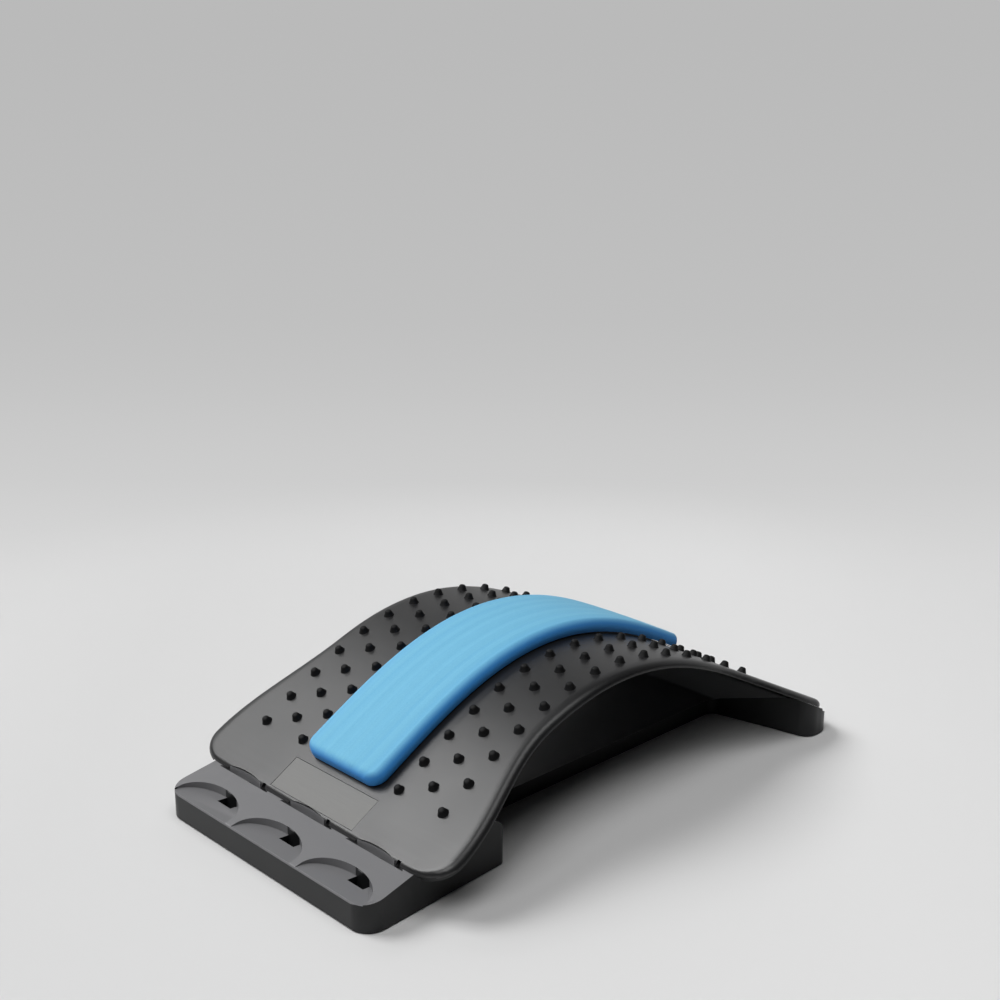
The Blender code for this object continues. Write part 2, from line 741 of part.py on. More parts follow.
def cell_grid(spans_x, spans_y, ceiling, cutters):
    """Hollow cells, open below, at every crossing of the two sets of spans."""
    return [box("cell", (x[0], y[0], -CUT_MARGIN), (x[1], y[1], ceiling), cutters)
            for x in spans_x for y in spans_y]


def underside_cells(cutters):
    """Cells that lighten the block, the plank and the heel."""
    cells = []
    bays = socket_bays()
    for row in range(SOCKET_ROWS):
        riser = riser_x(row)
        front = max(SKIN, riser - ROW_PITCH + RIB)
        cells += cell_grid([(front, riser)], bays, landing_height(row, riser) - SKIN, cutters)
    last = riser_x(SOCKET_ROWS - 1)
    cells += cell_grid(split(last + RIB, BLOCK_LENGTH - BLOCK_BACK_ROUNDING), bays,
                       ramp_height(last) - SKIN, cutters)
    plank = PLANK_HALF_WIDTH - SKIN
    cells += cell_grid(split(BLOCK_LENGTH + RIB, HEEL_X - RIB), split(-plank, plank),
                       PLANK_HEIGHT - SKIN, cutters)
    heel = EAR_HALF_WIDTH - REAR_CORNER
    floor = PIVOT_Z - LUG_REACH - LUG_CLEARANCE - SKIN
    cells += cell_grid([(HEEL_X + HEEL_SLANT + SKIN, BASE_LENGTH - SKIN)], split(-heel, heel), floor, cutters)
    return merged("cells", cells, cutters)


def foot_places():
    """Centres of the feet: two by two under the block and under the heel."""
    rear = BASE_LENGTH - FOOT_INSET
    front_side = BLOCK_HALF_WIDTH - FOOT_INSET
    rear_side = EAR_HALF_WIDTH - FOOT_INSET
    return {
        "foot_front_left": (FOOT_INSET, front_side),
        "foot_front_right": (FOOT_INSET, -front_side),
        "foot_rear_left": (rear, rear_side),
        "foot_rear_right": (rear, -rear_side),
    }


def disc(name, radius, centre, low, high, group):
    """Upright round disc."""
    bm = bmesh.new()
    bmesh.ops.create_cone(bm, cap_ends=True, segments=FOOT_SEGMENTS, radius1=radius, radius2=radius,
                          depth=high - low, matrix=Matrix.Translation((*centre, (low + high) / 2)))
    return from_bmesh(name, bm, group)


def base_board(group, cutters):
    """One moulding: the plan and the side view meet, then the sockets and cells are cut."""
    board = prism("base_board", base_outline(), 0.0, BOARD_TOP + CUT_MARGIN, group)
    profile = side_prism("profile", base_profile(), EAR_HALF_WIDTH + CUT_MARGIN, cutters)
    boolean(board, profile, "INTERSECT")
    centres = tongue_centres()
    boolean(board, underside_cells(cutters), "DIFFERENCE")
    for centre in foot_places().values():
        boss = disc("foot_boss", FOOT_RADIUS + SKIN, centre, FOOT_STANDOUT, FOOT_BOSS_HEIGHT, cutters)
        boolean(board, boss, "UNION")
        recess = disc("foot_recess", FOOT_RADIUS + SEAT_GAP, centre, -CUT_MARGIN,
                      FOOT_THICKNESS + SEAT_GAP, cutters)
        boolean(board, recess, "DIFFERENCE")
    for row in range(SOCKET_ROWS):
        for y in centres:
            boolean(board, scoop_cutter(row, y, cutters), "DIFFERENCE")
            boolean(board, hole_cutter(row, y, cutters), "DIFFERENCE")
    for y in centres:
        boolean(board, lug_socket(y, cutters), "DIFFERENCE")
    return board


def finish(obj, mat, origin):
    """Material, smooth shading with kept creases, and origin."""
    obj.data.materials.clear()
    obj.data.materials.append(mat)
    obj.data.shade_smooth()
    obj.data.set_sharp_from_angle(angle=math.radians(35))
    to_world(obj)
    return set_origin(obj, origin)


def main():
    clear_scene()
    group = new_collection("back_stretcher")
    cutters = new_collection("cutters")
    charcoal = material("charcoal_abs", "4A4B4D", 0.42)
    foam = material("blue_nbr_foam", "5FA9DA", 0.85)
    film = material("clear_adhesive_film", "C9CCCE", 0.5)
    panel = material("grey_panel_foil", "8E8E8A", 0.5)
    rubber = material("black_rubber", "1B1B1C", 0.8)

    finish(base_board(group, cutters), charcoal, (0.0, 0.0, 0.0))
    for name, centre in foot_places().items():
        foot = disc(name, FOOT_RADIUS, centre, 0.0, FOOT_THICKNESS, group)
        finish(foot, rubber, (FRONT_X + centre[0], centre[1], 0.0))

    axis = bpy.data.objects.new("arch_lift_axis", None)
    axis.location = PIVOT
    group.objects.link(axis)
    moving = [(arch_plate(group, cutters), charcoal), (spine_pad(group), foam),
              (pad_film(group), film), (name_panel(group), panel)]
    for obj, mat in moving:
        finish(obj, mat, PIVOT)
        obj.parent = axis
        obj.location = (0.0, 0.0, 0.0)
    for obj in cutters.objects:
        make_cutter(obj)
    print("base length", round(BASE_LENGTH, 5), "pivot", [round(v, 5) for v in PIVOT])
    print("plate front edge", round(EDGE_X, 4), round(EDGE_Z, 4), "apex", round(float(ARCH_Z.max()), 4))


main()
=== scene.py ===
# %% [markdown]
# # Dressing an arched back stretcher
# The real thing is two charcoal plastic mouldings hooked together, with a strip of blue foam stuck along
# the arch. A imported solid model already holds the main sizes, so it is loaded first as a fixed frame.
# What follows builds the surfaces that the eye sees and lays them on that frame.

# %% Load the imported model
import json
import math
from contextlib import contextmanager

import bmesh
import bpy
import numpy as np
from mathutils import Matrix, Vector


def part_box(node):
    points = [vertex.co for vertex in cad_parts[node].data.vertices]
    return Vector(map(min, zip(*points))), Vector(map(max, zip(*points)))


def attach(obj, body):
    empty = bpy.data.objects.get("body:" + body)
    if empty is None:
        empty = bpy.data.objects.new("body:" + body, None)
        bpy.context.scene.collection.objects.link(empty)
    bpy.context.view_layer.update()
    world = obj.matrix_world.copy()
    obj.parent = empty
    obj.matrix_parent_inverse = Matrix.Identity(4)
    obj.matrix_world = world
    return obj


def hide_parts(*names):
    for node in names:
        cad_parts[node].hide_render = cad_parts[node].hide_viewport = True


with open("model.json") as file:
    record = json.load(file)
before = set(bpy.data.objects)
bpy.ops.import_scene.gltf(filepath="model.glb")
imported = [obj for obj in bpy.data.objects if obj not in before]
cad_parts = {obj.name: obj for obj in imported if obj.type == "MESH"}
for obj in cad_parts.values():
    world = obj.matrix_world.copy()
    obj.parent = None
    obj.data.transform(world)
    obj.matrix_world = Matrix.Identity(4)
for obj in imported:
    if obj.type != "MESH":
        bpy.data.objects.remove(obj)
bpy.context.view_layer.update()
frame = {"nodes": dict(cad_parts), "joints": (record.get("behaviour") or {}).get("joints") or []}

BOARD_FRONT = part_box("base_board")[0].x
BOARD_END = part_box("base_board")[1].x - BOARD_FRONT
TO_FRAME = Vector((BOARD_FRONT, 0.0, 0.0))        # everything is drawn from the board's front wall
HINGE = Vector(frame["joints"][0]["pos_m"]) - TO_FRAME


# %% [markdown]
# ## Small tools
# The board and the plate are both flat outlines that were cut, joined and rounded, so a few helpers are
# enough: an outline pushed up into a prism, and booleans that keep their result. Working this way follows
# the mould maker, who also starts from outlines. Faces typed in one by one would be harder to read.


# %% Objects and booleans
def link(name, data):
    """New object in the scene's own collection."""
    obj = bpy.data.objects.new(name, data)
    bpy.context.scene.collection.objects.link(obj)
    return obj


@contextmanager
def edited(obj):
    """The object's mesh as a bmesh, which is written back when the block ends."""
    bm = bmesh.new()
    bm.from_mesh(obj.data)
    yield bm
    bm.to_mesh(obj.data)
    bm.free()


def from_bmesh(name, bm):
    """New object from a bmesh, with every face turned outwards."""
    bmesh.ops.recalc_face_normals(bm, faces=bm.faces)
    mesh = bpy.data.meshes.new(name)
    bm.to_mesh(mesh)
    bm.free()
    return link(name, mesh)


def apply_modifiers(obj):
    """Keep what the modifiers made and drop them."""
    graph = bpy.context.evaluated_depsgraph_get()
    mesh = bpy.data.meshes.new_from_object(obj.evaluated_get(graph))
    obj.modifiers.clear()
    obj.data = mesh
    return obj


def combine(obj, tool, operation):
    """Cut obj with the tool, or join or intersect them, and throw the tool away."""
    mod = obj.modifiers.new(operation.title(), "BOOLEAN")
    mod.operation = operation
    mod.object = tool
    mod.solver = "EXACT"
    apply_modifiers(obj)
    bpy.data.objects.remove(tool, do_unlink=True)
    return obj


# %% Outlines and prisms
def prism(name, outline, low, high):
    """Solid from a closed outline in XY between two heights."""
    bm = bmesh.new()
    bottom = [bm.verts.new((x, y, low)) for x, y in outline]
    face = bm.faces.new(bottom)
    top = bmesh.ops.extrude_face_region(bm, geom=[face])
    raised = [v for v in top["geom"] if isinstance(v, bmesh.types.BMVert)]
    bmesh.ops.translate(bm, verts=raised, vec=(0.0, 0.0, high - low))
    return from_bmesh(name, bm)


def side_prism(name, outline, half_width):
    """Solid from a closed outline in XZ, centred on Y."""
    obj = prism(name, outline, -half_width, half_width)
    obj.data.transform(Matrix(((1, 0, 0, 0), (0, 0, -1, 0), (0, 1, 0, 0), (0, 0, 0, 1))))
    return obj


def block(name, low, high):
    """Box between two corners, as a cutting tool."""
    outline = [(low[0], low[1]), (high[0], low[1]), (high[0], high[1]), (low[0], high[1])]
    return prism(name, outline, low[2], high[2])


def gather(name, tools):
    """One object from several solids that don't touch."""
    bm = bmesh.new()
    for tool in tools:
        bm.from_mesh(tool.data)
        bpy.data.objects.remove(tool, do_unlink=True)
    return from_bmesh(name, bm)


def rounded(corners, steps=10):
    """Outline through (x, y, radius) corners, each rounded by an arc."""
    points = []
    for i, (x, y, radius) in enumerate(corners):
        here = Vector((x, y))
        if radius == 0:
            points.append((x, y))
            continue
        before = (Vector(corners[i - 1][:2]) - here).normalized()
        after = (Vector(corners[(i + 1) % len(corners)][:2]) - here).normalized()
        half = before.angle(after) / 2
        centre = here + (before + after).normalized() * (radius / math.sin(half))
        start = here + before * (radius / math.tan(half)) - centre
        end = here + after * (radius / math.tan(half)) - centre
        sweep = start.angle_signed(end)
        for k in range(steps + 1):
            points.append(tuple(centre + Matrix.Rotation(-sweep * k / steps, 2) @ start))
    return points


def mirrored(corners):
    """Corners on +Y followed by the same ones on -Y, in reverse."""
    return corners + [(x, -y, r) for x, y, r in reversed(corners)]


# %% Edges and shading
def soften(obj, width, angle=35, segments=3):
    """Break every hard edge with a small round, as the mould's own corners have."""
    mod = obj.modifiers.new("Edges", "BEVEL")
    mod.width = width
    mod.segments = segments
    mod.limit_method = "ANGLE"
    mod.angle_limit = math.radians(angle)
    mod.use_clamp_overlap = True
    mod.harden_normals = False
    return apply_modifiers(obj)


def shade(obj, sharp=32, weight=80):
    """Smooth shading with kept creases; a high weight lets big flat faces keep their own normal."""
    obj.data.shade_smooth()
    obj.data.set_sharp_from_angle(angle=math.radians(sharp))
    mod = obj.modifiers.new("Normals", "WEIGHTED_NORMAL")
    mod.keep_sharp = True
    mod.weight = weight
    return apply_modifiers(obj)


# %% [markdown]
# ## The camera
# The camera's place, heading and lens were solved from the photograph, where the even rows of nubs gave the
# best marks. It could be aimed at the object with a constraint, but fixed numbers keep its slight roll.


# %% Camera
CAMERA_FROM_BOARD = (-0.45276, -0.67573, 0.47010)
CAMERA_YAW = math.radians(45.97)
CAMERA_PITCH = math.radians(16.44)
CAMERA_ROLL = math.radians(0.19)
LENS = 53.85
SENSOR = 36.0
UP = Vector((0.0, 0.0, 1.0))
AHEAD = Vector((math.cos(CAMERA_YAW), math.sin(CAMERA_YAW), 0.0))
ACROSS = Vector((-math.sin(CAMERA_YAW), math.cos(CAMERA_YAW), 0.0))

forward = Vector((math.cos(CAMERA_YAW) * math.cos(CAMERA_PITCH),
                  math.sin(CAMERA_YAW) * math.cos(CAMERA_PITCH), -math.sin(CAMERA_PITCH)))
camera = link("camera", bpy.data.cameras.new("camera"))
camera.data.lens = LENS
camera.data.sensor_width = SENSOR
camera.location = Vector(CAMERA_FROM_BOARD) + TO_FRAME
camera.rotation_mode = "QUATERNION"
level = forward.to_track_quat("-Z", "Y")
camera.rotation_quaternion = level @ Matrix.Rotation(CAMERA_ROLL, 4, "Z").to_quaternion()
camera.data.clip_start = 0.01
camera.data.clip_end = 50.0
bpy.context.scene.camera = camera
bpy.context.scene.view_settings.view_transform = "Standard"
print("camera distance in m:", round(camera.location.length, 3))

# %% [markdown]
# ## Colours and nodes
# A colour picked on a screen is an sRGB hex code, but a shader counts in linear light, so one function turns
# one into the other. Materials are built from nodes, and one helper adds a node together with its settings
# and links. That reads from top to bottom, which a node tree that is wired up afterwards doesn't.

# %% Colours and node building
# The colour sockets of a Mix node go by number, because its number sockets have the same names.
MIX_A = 6
MIX_B = 7
MIX_COLOUR = 2


def srgb(hex_code):
    """Linear RGBA of an sRGB hex colour."""
    channels = [int(hex_code[i:i + 2], 16) / 255 for i in (0, 2, 4)]
    linear = [c / 12.92 if c <= 0.04045 else ((c + 0.055) / 1.055) ** 2.4 for c in channels]
    return (*linear, 1.0)


def add_node(tree, kind, inputs=None, **settings):
    """Add one node; inputs maps a socket's name or number to a value or to another node's socket."""
    node = tree.nodes.new(kind)
    for name, value in settings.items():
        setattr(node, name, value)
    for key, value in (inputs or {}).items():
        if isinstance(value, bpy.types.NodeSocket):
            tree.links.new(value, node.inputs[key])
        else:
            node.inputs[key].default_value = value
    return node


def per_metre(size_mm):
    """Texture scale that makes one feature of a pattern this many millimetres long."""
    return 1000.0 / size_mm


def plain_material(name, roughness, ior=1.5):
    """Principled material with its fixed numbers on the shader's own sockets."""
    mat = bpy.data.materials.new(name)
    mat.use_nodes = True
    shader = mat.node_tree.nodes["Principled BSDF"]
    shader.inputs["Roughness"].default_value = roughness
    shader.inputs["Metallic"].default_value = 0.0
    shader.inputs["IOR"].default_value = ior
    return mat, mat.node_tree, shader


print("mid grey in linear light:", round(srgb("808080")[0], 3))

# %% [markdown]
# ## The paper sweep
# In a product studio grey paper runs under the object and curves up behind it. Near the object it takes the
# lamps' light and the object's shadow. Further off it shows its own tone as an even glow, because lamps that
# light a wall evenly would also flatten the object.

# %% Floor and wall
SWEEP_STEPS = 24
SWEEP_START = 1.15
SWEEP_RADIUS = 0.6
FLOOR_BEHIND = 3.0
FLOOR_HALF_WIDTH = 3.5
WALL_TOP = 1.7
# Painted light: the floor's colour is paler on the right to even out the lamps.
FLOOR_LEFT_HEX = "D2D2D2"
FLOOR_RIGHT_HEX = "E3E3E3"
FLOOR_LEFT = 0.30
FLOOR_RIGHT = -0.22
BACKDROP_HEX = ((0.35, "D9D9D9"), (0.73, "CDCDCD"), (1.5, "C0C0C0"), (2.25, "BABABA"))
BACKDROP_REACH = 2.5
FAR_FROM = 0.42
FAR_TO = 0.75


def studio_sweep():
    """Paper sweep that runs along the camera's own heading."""
    bm = bmesh.new()
    path = [(-FLOOR_BEHIND, 0.0), (0.0, 0.0), (SWEEP_START, 0.0)]
    for k in range(1, SWEEP_STEPS + 1):
        turn = math.pi / 2 * k / SWEEP_STEPS
        path.append((SWEEP_START + SWEEP_RADIUS * math.sin(turn), SWEEP_RADIUS * (1 - math.cos(turn))))
    path.append((SWEEP_START + SWEEP_RADIUS, WALL_TOP))
    rows = []
    for along, height in path:
        middle = AHEAD * along + UP * height
        rows.append([bm.verts.new(middle + ACROSS * side) for side in (-FLOOR_HALF_WIDTH, FLOOR_HALF_WIDTH)])
    for first, second in zip(rows, rows[1:]):
        bm.faces.new((first[0], first[1], second[1], second[0]))
    sweep = from_bmesh("studio_sweep", bm)
    sweep.data.shade_smooth()
    return sweep


def backdrop_tone(tree, place):
    """Tone of the far paper by how far it runs back along the floor and up the wall."""
    run = add_node(tree, "ShaderNodeVectorMath", {0: place, 1: AHEAD + UP}, operation="DOT_PRODUCT")
    share = add_node(tree, "ShaderNodeMath", {
        0: run.outputs["Value"], 1: BACKDROP_REACH}, operation="DIVIDE")
    ramp = add_node(tree, "ShaderNodeValToRGB", {"Fac": share.outputs["Value"]})
    stops = ramp.color_ramp.elements       # a new ramp has two
    for k, (distance, hex_code) in enumerate(BACKDROP_HEX):
        stop = stops[k] if k < 2 else stops.new(distance / BACKDROP_REACH)
        stop.position = distance / BACKDROP_REACH
        stop.color = srgb(hex_code)
    return ramp.outputs["Color"]


def painted_floor_fill(tree, place):
    """Painted light: the near paper is paler on the right, where the lamps light it less, so that it looks
    even.
    """
    side = add_node(tree, "ShaderNodeVectorMath", {0: place, 1: ACROSS}, operation="DOT_PRODUCT")
    share = add_node(tree, "ShaderNodeMapRange", {
        "Value": side.outputs["Value"], "From Min": FLOOR_RIGHT, "From Max": FLOOR_LEFT})
    tint = add_node(tree, "ShaderNodeMix", {
        "Factor": share.outputs["Result"], MIX_A: srgb(FLOOR_RIGHT_HEX),
        MIX_B: srgb(FLOOR_LEFT_HEX)}, data_type="RGBA")
    return tint.outputs[MIX_COLOUR]


def glow_share(tree, place):
    """How much of the glow the eye, mirrors and glass see: none near the object, all of it far off."""
    flat = add_node(tree, "ShaderNodeVectorMath", {0: place, 1: (1.0, 1.0, 0.0)}, operation="MULTIPLY")
    away = add_node(tree, "ShaderNodeVectorMath", {0: flat.outputs["Vector"]}, operation="LENGTH")
    far = add_node(tree, "ShaderNodeMapRange", {
        "Value": away.outputs["Value"], "From Min": FAR_FROM,
        "From Max": FAR_TO}, interpolation_type="SMOOTHSTEP")
    ray = add_node(tree, "ShaderNodeLightPath")
    seen = add_node(tree, "ShaderNodeMath", {
        0: ray.outputs["Is Camera Ray"], 1: ray.outputs["Is Glossy Ray"]}, operation="ADD")
    seen = add_node(tree, "ShaderNodeMath", {
        0: seen.outputs["Value"], 1: ray.outputs["Is Transmission Ray"]}, operation="ADD", use_clamp=True)
    share = add_node(tree, "ShaderNodeMath", {
        0: seen.outputs["Value"], 1: far.outputs["Result"]}, operation="MULTIPLY")
    return share.outputs["Value"]


def paper():
    """Matt pale paper, with its glow far from the object."""
    mat, tree, shader = plain_material("studio_paper", roughness=0.9)
    shader.inputs["Specular IOR Level"].default_value = 0.2
    place = add_node(tree, "ShaderNodeNewGeometry").outputs["Position"]
    tree.links.new(painted_floor_fill(tree, place), shader.inputs["Base Color"])
    glow = add_node(tree, "ShaderNodeEmission", {"Color": backdrop_tone(tree, place), "Strength": 1.0})
    mixed = add_node(tree, "ShaderNodeMixShader", {
        0: glow_share(tree, place), 1: shader.outputs["BSDF"], 2: glow.outputs["Emission"]})
    tree.links.new(mixed.outputs["Shader"], tree.nodes["Material Output"].inputs["Surface"])
    return mat


sweep = studio_sweep()
sweep.data.materials.append(paper())
print("sweep faces:", len(sweep.data.polygons))

# %% [markdown]
# ## The lamps
# Four large soft boxes stand round the object. Large and near means soft shadows and broad sheens, which dark
# plastic needs, because it shows little but what it reflects. Their strengths were matched to the
# photograph's tones, and the world adds only a trace of light from everywhere.

# %% Soft boxes and world
LAMP_DISTANCE = 4.0
LAMP_SIZE = 2.0
LAMPS = {
    "key_softbox": ((-0.331, 0.551, 0.766), 8.6),
    "back_softbox": ((0.224, 0.837, 0.500), 4.1),
    "front_softbox": ((-0.618, -0.177, 0.766), 4.0),
    "top_softbox": ((0.071, -0.249, 0.966), 2.9),
}
WORLD_HEX = "B4B4B6"
WORLD_STRENGTH = 0.03


def lamp(name, direction, radiance):
    """Square soft box that faces the object; one of radiance 1 would itself look white."""
    data = bpy.data.lights.new(name, "AREA")
    data.shape = "SQUARE"
    data.size = LAMP_SIZE
    data.energy = math.pi * LAMP_SIZE * LAMP_SIZE * radiance
    obj = link(name, data)
    obj.location = Vector(direction).normalized() * LAMP_DISTANCE
    obj.rotation_mode = "QUATERNION"
    obj.rotation_quaternion = (-obj.location).to_track_quat("-Z", "Y")
    return obj


for name, (direction, radiance) in LAMPS.items():
    lamp(name, direction, radiance)
world = bpy.data.worlds.new("studio_world")
world.use_nodes = True
background = world.node_tree.nodes["Background"]
background.inputs["Color"].default_value = srgb(WORLD_HEX)
background.inputs["Strength"].default_value = WORLD_STRENGTH
bpy.context.scene.world = world
print("lamps:", len(LAMPS))

# %% [markdown]
# ## Sizes of the two mouldings
# The plate is a straight strip that was bent between two hooks, so its slope falls from the front to the
# rear as half a cosine wave. Everything on the plate is drawn flat, at a distance s along it and a height h
# off its top, and one function carries it onto the arch. A curve modifier could bend it as well, but this
# way every other part can ask where a point of the plate ends up.

# %% Sizes in metres, measured from the board's front wall
ARCH_LENGTH = 0.413
FRONT_SLOPE = math.radians(29.4)
REAR_SLOPE = math.radians(27.4)
FRONT_STRAIGHT = 0.0537
REAR_STRAIGHT = 0.0789
BEND_LENGTH = ARCH_LENGTH - FRONT_STRAIGHT - REAR_STRAIGHT

FRONT_HEIGHT = 0.0181
RAMP_RISE = 0.2
ROW_PITCH = 0.022
SCOOP_CENTRE = 0.0047
SCOOP_DEPTH = 0.017
LANDING_HEIGHT = 0.0181
LANDING_TILT = 0.06
USED_ROW = 1
TONGUE_BITE = 0.0045
TONGUE_WALL = 0.0036
RISER_CLEARANCE = 0.0014
LIP_THICKNESS = 0.0015
SEAT_GAP = 0.0003


def riser_x(row):
    """Where a socket row's riser stands."""
    return SCOOP_CENTRE + SCOOP_DEPTH + ROW_PITCH * row


def landing_height(row, x):
    """Height of a socket row's landing, which falls away towards its riser."""
    return LANDING_HEIGHT + RAMP_RISE * ROW_PITCH * row - LANDING_TILT * (x - ROW_PITCH * row)


def ramp_height(x):
    """Height of the step block's sloping top."""
    return FRONT_HEIGHT + RAMP_RISE * x


EDGE_X = riser_x(USED_ROW) - RISER_CLEARANCE - TONGUE_WALL - TONGUE_BITE * math.cos(FRONT_SLOPE)
EDGE_Z = ramp_height(EDGE_X) + LIP_THICKNESS + SEAT_GAP
print("plate's front edge in mm:", round(1000 * EDGE_X, 1), round(1000 * EDGE_Z, 1))

# %% The arch
SAMPLE_MARGIN = 0.02
SAMPLE_COUNT = 2001
CUT_TOLERANCE = 1e-6


def slope_at(s):
    """Slope of the arch at distance s along it."""
    turn = np.clip((np.asarray(s) - FRONT_STRAIGHT) / BEND_LENGTH, 0.0, 1.0)
    return (FRONT_SLOPE - REAR_SLOPE) / 2 + (FRONT_SLOPE + REAR_SLOPE) / 2 * np.cos(math.pi * turn)


SAMPLES = np.linspace(-SAMPLE_MARGIN, ARCH_LENGTH + SAMPLE_MARGIN, SAMPLE_COUNT)


def running_sum(rate):
    """Trapezium sum of a rate along the arch, zero at the plate's front edge."""
    steps = (rate[1:] + rate[:-1]) / 2 * (SAMPLES[1] - SAMPLES[0])
    total = np.concatenate([[0.0], np.cumsum(steps)])
    return total - np.interp(0.0, SAMPLES, total)


ARCH_X = EDGE_X + running_sum(np.cos(slope_at(SAMPLES)))
ARCH_Z = EDGE_Z + running_sum(np.sin(slope_at(SAMPLES)))


def on_arch(s, h):
    """Place of a point (s, h) of the flat drawing once it is laid on the arch."""
    slope = slope_at(s)
    x = np.interp(s, SAMPLES, ARCH_X) - h * np.sin(slope)
    z = np.interp(s, SAMPLES, ARCH_Z) + h * np.cos(slope)
    return x, z


def lay_on_arch(obj):
    """Carry every vertex (s, y, h) onto the arch and into the frame."""
    count = len(obj.data.vertices)
    flat = np.empty(count * 3)
    obj.data.vertices.foreach_get("co", flat)
    flat = flat.reshape(count, 3)
    x, z = on_arch(flat[:, 0], flat[:, 2])
    obj.data.vertices.foreach_set("co", np.stack([x + BOARD_FRONT, flat[:, 1], z], axis=1).ravel())
    obj.data.update()
    return obj


def slice_along(obj, start, end, step):
    """Cut a flat mesh across, often enough to bend it smoothly."""
    with edited(obj) as bm:
        for k in range(int(round((end - start) / step)) + 1):
            geometry = bm.verts[:] + bm.edges[:] + bm.faces[:]
            bmesh.ops.bisect_plane(bm, geom=geometry, plane_co=(start + k * step, 0, 0),
                                   plane_no=(1, 0, 0), dist=CUT_TOLERANCE)
    return obj


def triangulate(obj):
    """Triangles throughout, because bending leaves no larger face flat."""
    with edited(obj) as bm:
        bmesh.ops.triangulate(bm, faces=bm.faces)
    return obj


print("arch top in mm:", round(1000 * ARCH_Z.max(), 1))

# %% [markdown]
# ## The charcoal plastic
# Both mouldings are charcoal ABS. The plate's top has a fine spark-eroded satin, which spreads the soft boxes
# into a broad sheen. The other greys are painted light and shade on the same plastic: a paler copy is painted
# light on the board's upward faces and risers and on the plate's tongues; a darker copy with less sheen is
# painted shade on walls and faces that look down; and a darker copy still is painted shade on the nubs' steep
# sides. The real grain is about a tenth of a millimetre, too fine to show, so it is drawn four times coarser
# here.

# %% Charcoal ABS, with painted light and shade
ABS_IOR = 1.53
GRAIN_MM = 0.4
GRAIN_DEPTH = 0.00002
GRAIN_STRENGTH = 0.5
FLOW_MM = 45.0
FLOW_SWING = 0.03
NOISE_LOW = 0.3
NOISE_HIGH = 0.7
RUBBED_FROM = 0.52
RUBBED_TO = 0.62


def moulded_abs(name, hex_code, rubbed_hex, gloss, specular):
    """ABS with a fine mould grain, faint flow marks in its gloss and paler rubbed edges."""
    mat, tree, shader = plain_material(name, gloss, ior=ABS_IOR)
    place = add_node(tree, "ShaderNodeTexCoord").outputs["Object"]
    flow = add_node(tree, "ShaderNodeTexNoise", {
        "Vector": place, "Scale": per_metre(FLOW_MM), "Detail": 3.0})
    finish = add_node(tree, "ShaderNodeMapRange", {
        "Value": flow.outputs["Fac"], "From Min": NOISE_LOW, "From Max": NOISE_HIGH,
        "To Min": gloss - FLOW_SWING, "To Max": gloss + FLOW_SWING})
    edge = add_node(tree, "ShaderNodeNewGeometry").outputs["Pointiness"]
    rubbed = add_node(tree, "ShaderNodeMapRange", {
        "Value": edge, "From Min": RUBBED_FROM, "From Max": RUBBED_TO})
    tint = add_node(tree, "ShaderNodeMix", {
        "Factor": rubbed.outputs["Result"], MIX_A: srgb(hex_code),
        MIX_B: srgb(rubbed_hex)}, data_type="RGBA")
    grain = add_node(tree, "ShaderNodeTexNoise", {
        "Vector": place, "Scale": per_metre(GRAIN_MM), "Detail": 2.0})
    bump = add_node(tree, "ShaderNodeBump", {
        "Height": grain.outputs["Fac"], "Strength": GRAIN_STRENGTH, "Distance": GRAIN_DEPTH})
    tree.links.new(finish.outputs["Result"], shader.inputs["Roughness"])
    tree.links.new(tint.outputs[MIX_COLOUR], shader.inputs["Base Color"])
    tree.links.new(bump.outputs["Normal"], shader.inputs["Normal"])
    shader.inputs["Specular IOR Level"].default_value = specular
    return mat


SATIN_ABS = moulded_abs("abs_spark_eroded_satin", "1C1C1D", "2E2E2F", gloss=0.36, specular=0.52)
# Painted light: a paler copy of the plastic, for faces that look up on the board, its risers and the tongues.
PAINTED_LIGHT_ABS = moulded_abs("abs_painted_light", "6C6C6E", "79797B", gloss=0.45, specular=0.5)
# Painted shade: a darker copy with less sheen, for walls and faces that look down.
PAINTED_SHADE_ABS = moulded_abs("abs_painted_shade", "191A1B", "1E1E1F", gloss=0.38, specular=0.3)
# Painted shade: a darker copy still, for the nubs, which are moulded in one with the plate.
PAINTED_NUB_SHADE_ABS = moulded_abs("abs_painted_nub_shade", "101011", "161617", gloss=0.62, specular=0.2)
# Slot lists: the plate's own satin beside the painted light and shade, and the board's painted light and
# shade.
PLATE_SATIN_AND_PAINTED_TONES = (SATIN_ABS, PAINTED_NUB_SHADE_ABS, PAINTED_SHADE_ABS, PAINTED_LIGHT_ABS)
SATIN, NUB_PAINTED_SHADE, PLATE_PAINTED_SHADE, PLATE_PAINTED_LIGHT = range(4)
BOARD_PAINTED_TONES = (PAINTED_LIGHT_ABS, PAINTED_SHADE_ABS)
BOARD_PAINTED_LIGHT, BOARD_PAINTED_SHADE = range(2)


def add_material_slots(obj, finishes):
    """Give an object one material slot for each material in the list."""
    for mat in finishes:
        obj.data.materials.append(mat)


def paint_shade_from(obj, limit, old, new):
    """Painted shade: faces that don't look up, by their normal, take the darker copy of the plastic."""
    for face in obj.data.polygons:
        if face.material_index == old and face.normal.z < limit:
            face.material_index = new


print("ABS finishes:", len(PLATE_SATIN_AND_PAINTED_TONES))

# %% [markdown]
# ## The arch plate
# The plate is a thin springy shell with a rim all round. It is wider at its two ends, narrower along the
# middle, and its outside edge is rolled over. It is drawn flat as a prism, its top edge is rounded, the
# inside is cut out, and the nubs are joined on before the bend. A sheet with a thickness modifier would be
# quicker, but it couldn't have a rim, ribs and bites that differ from its skin.

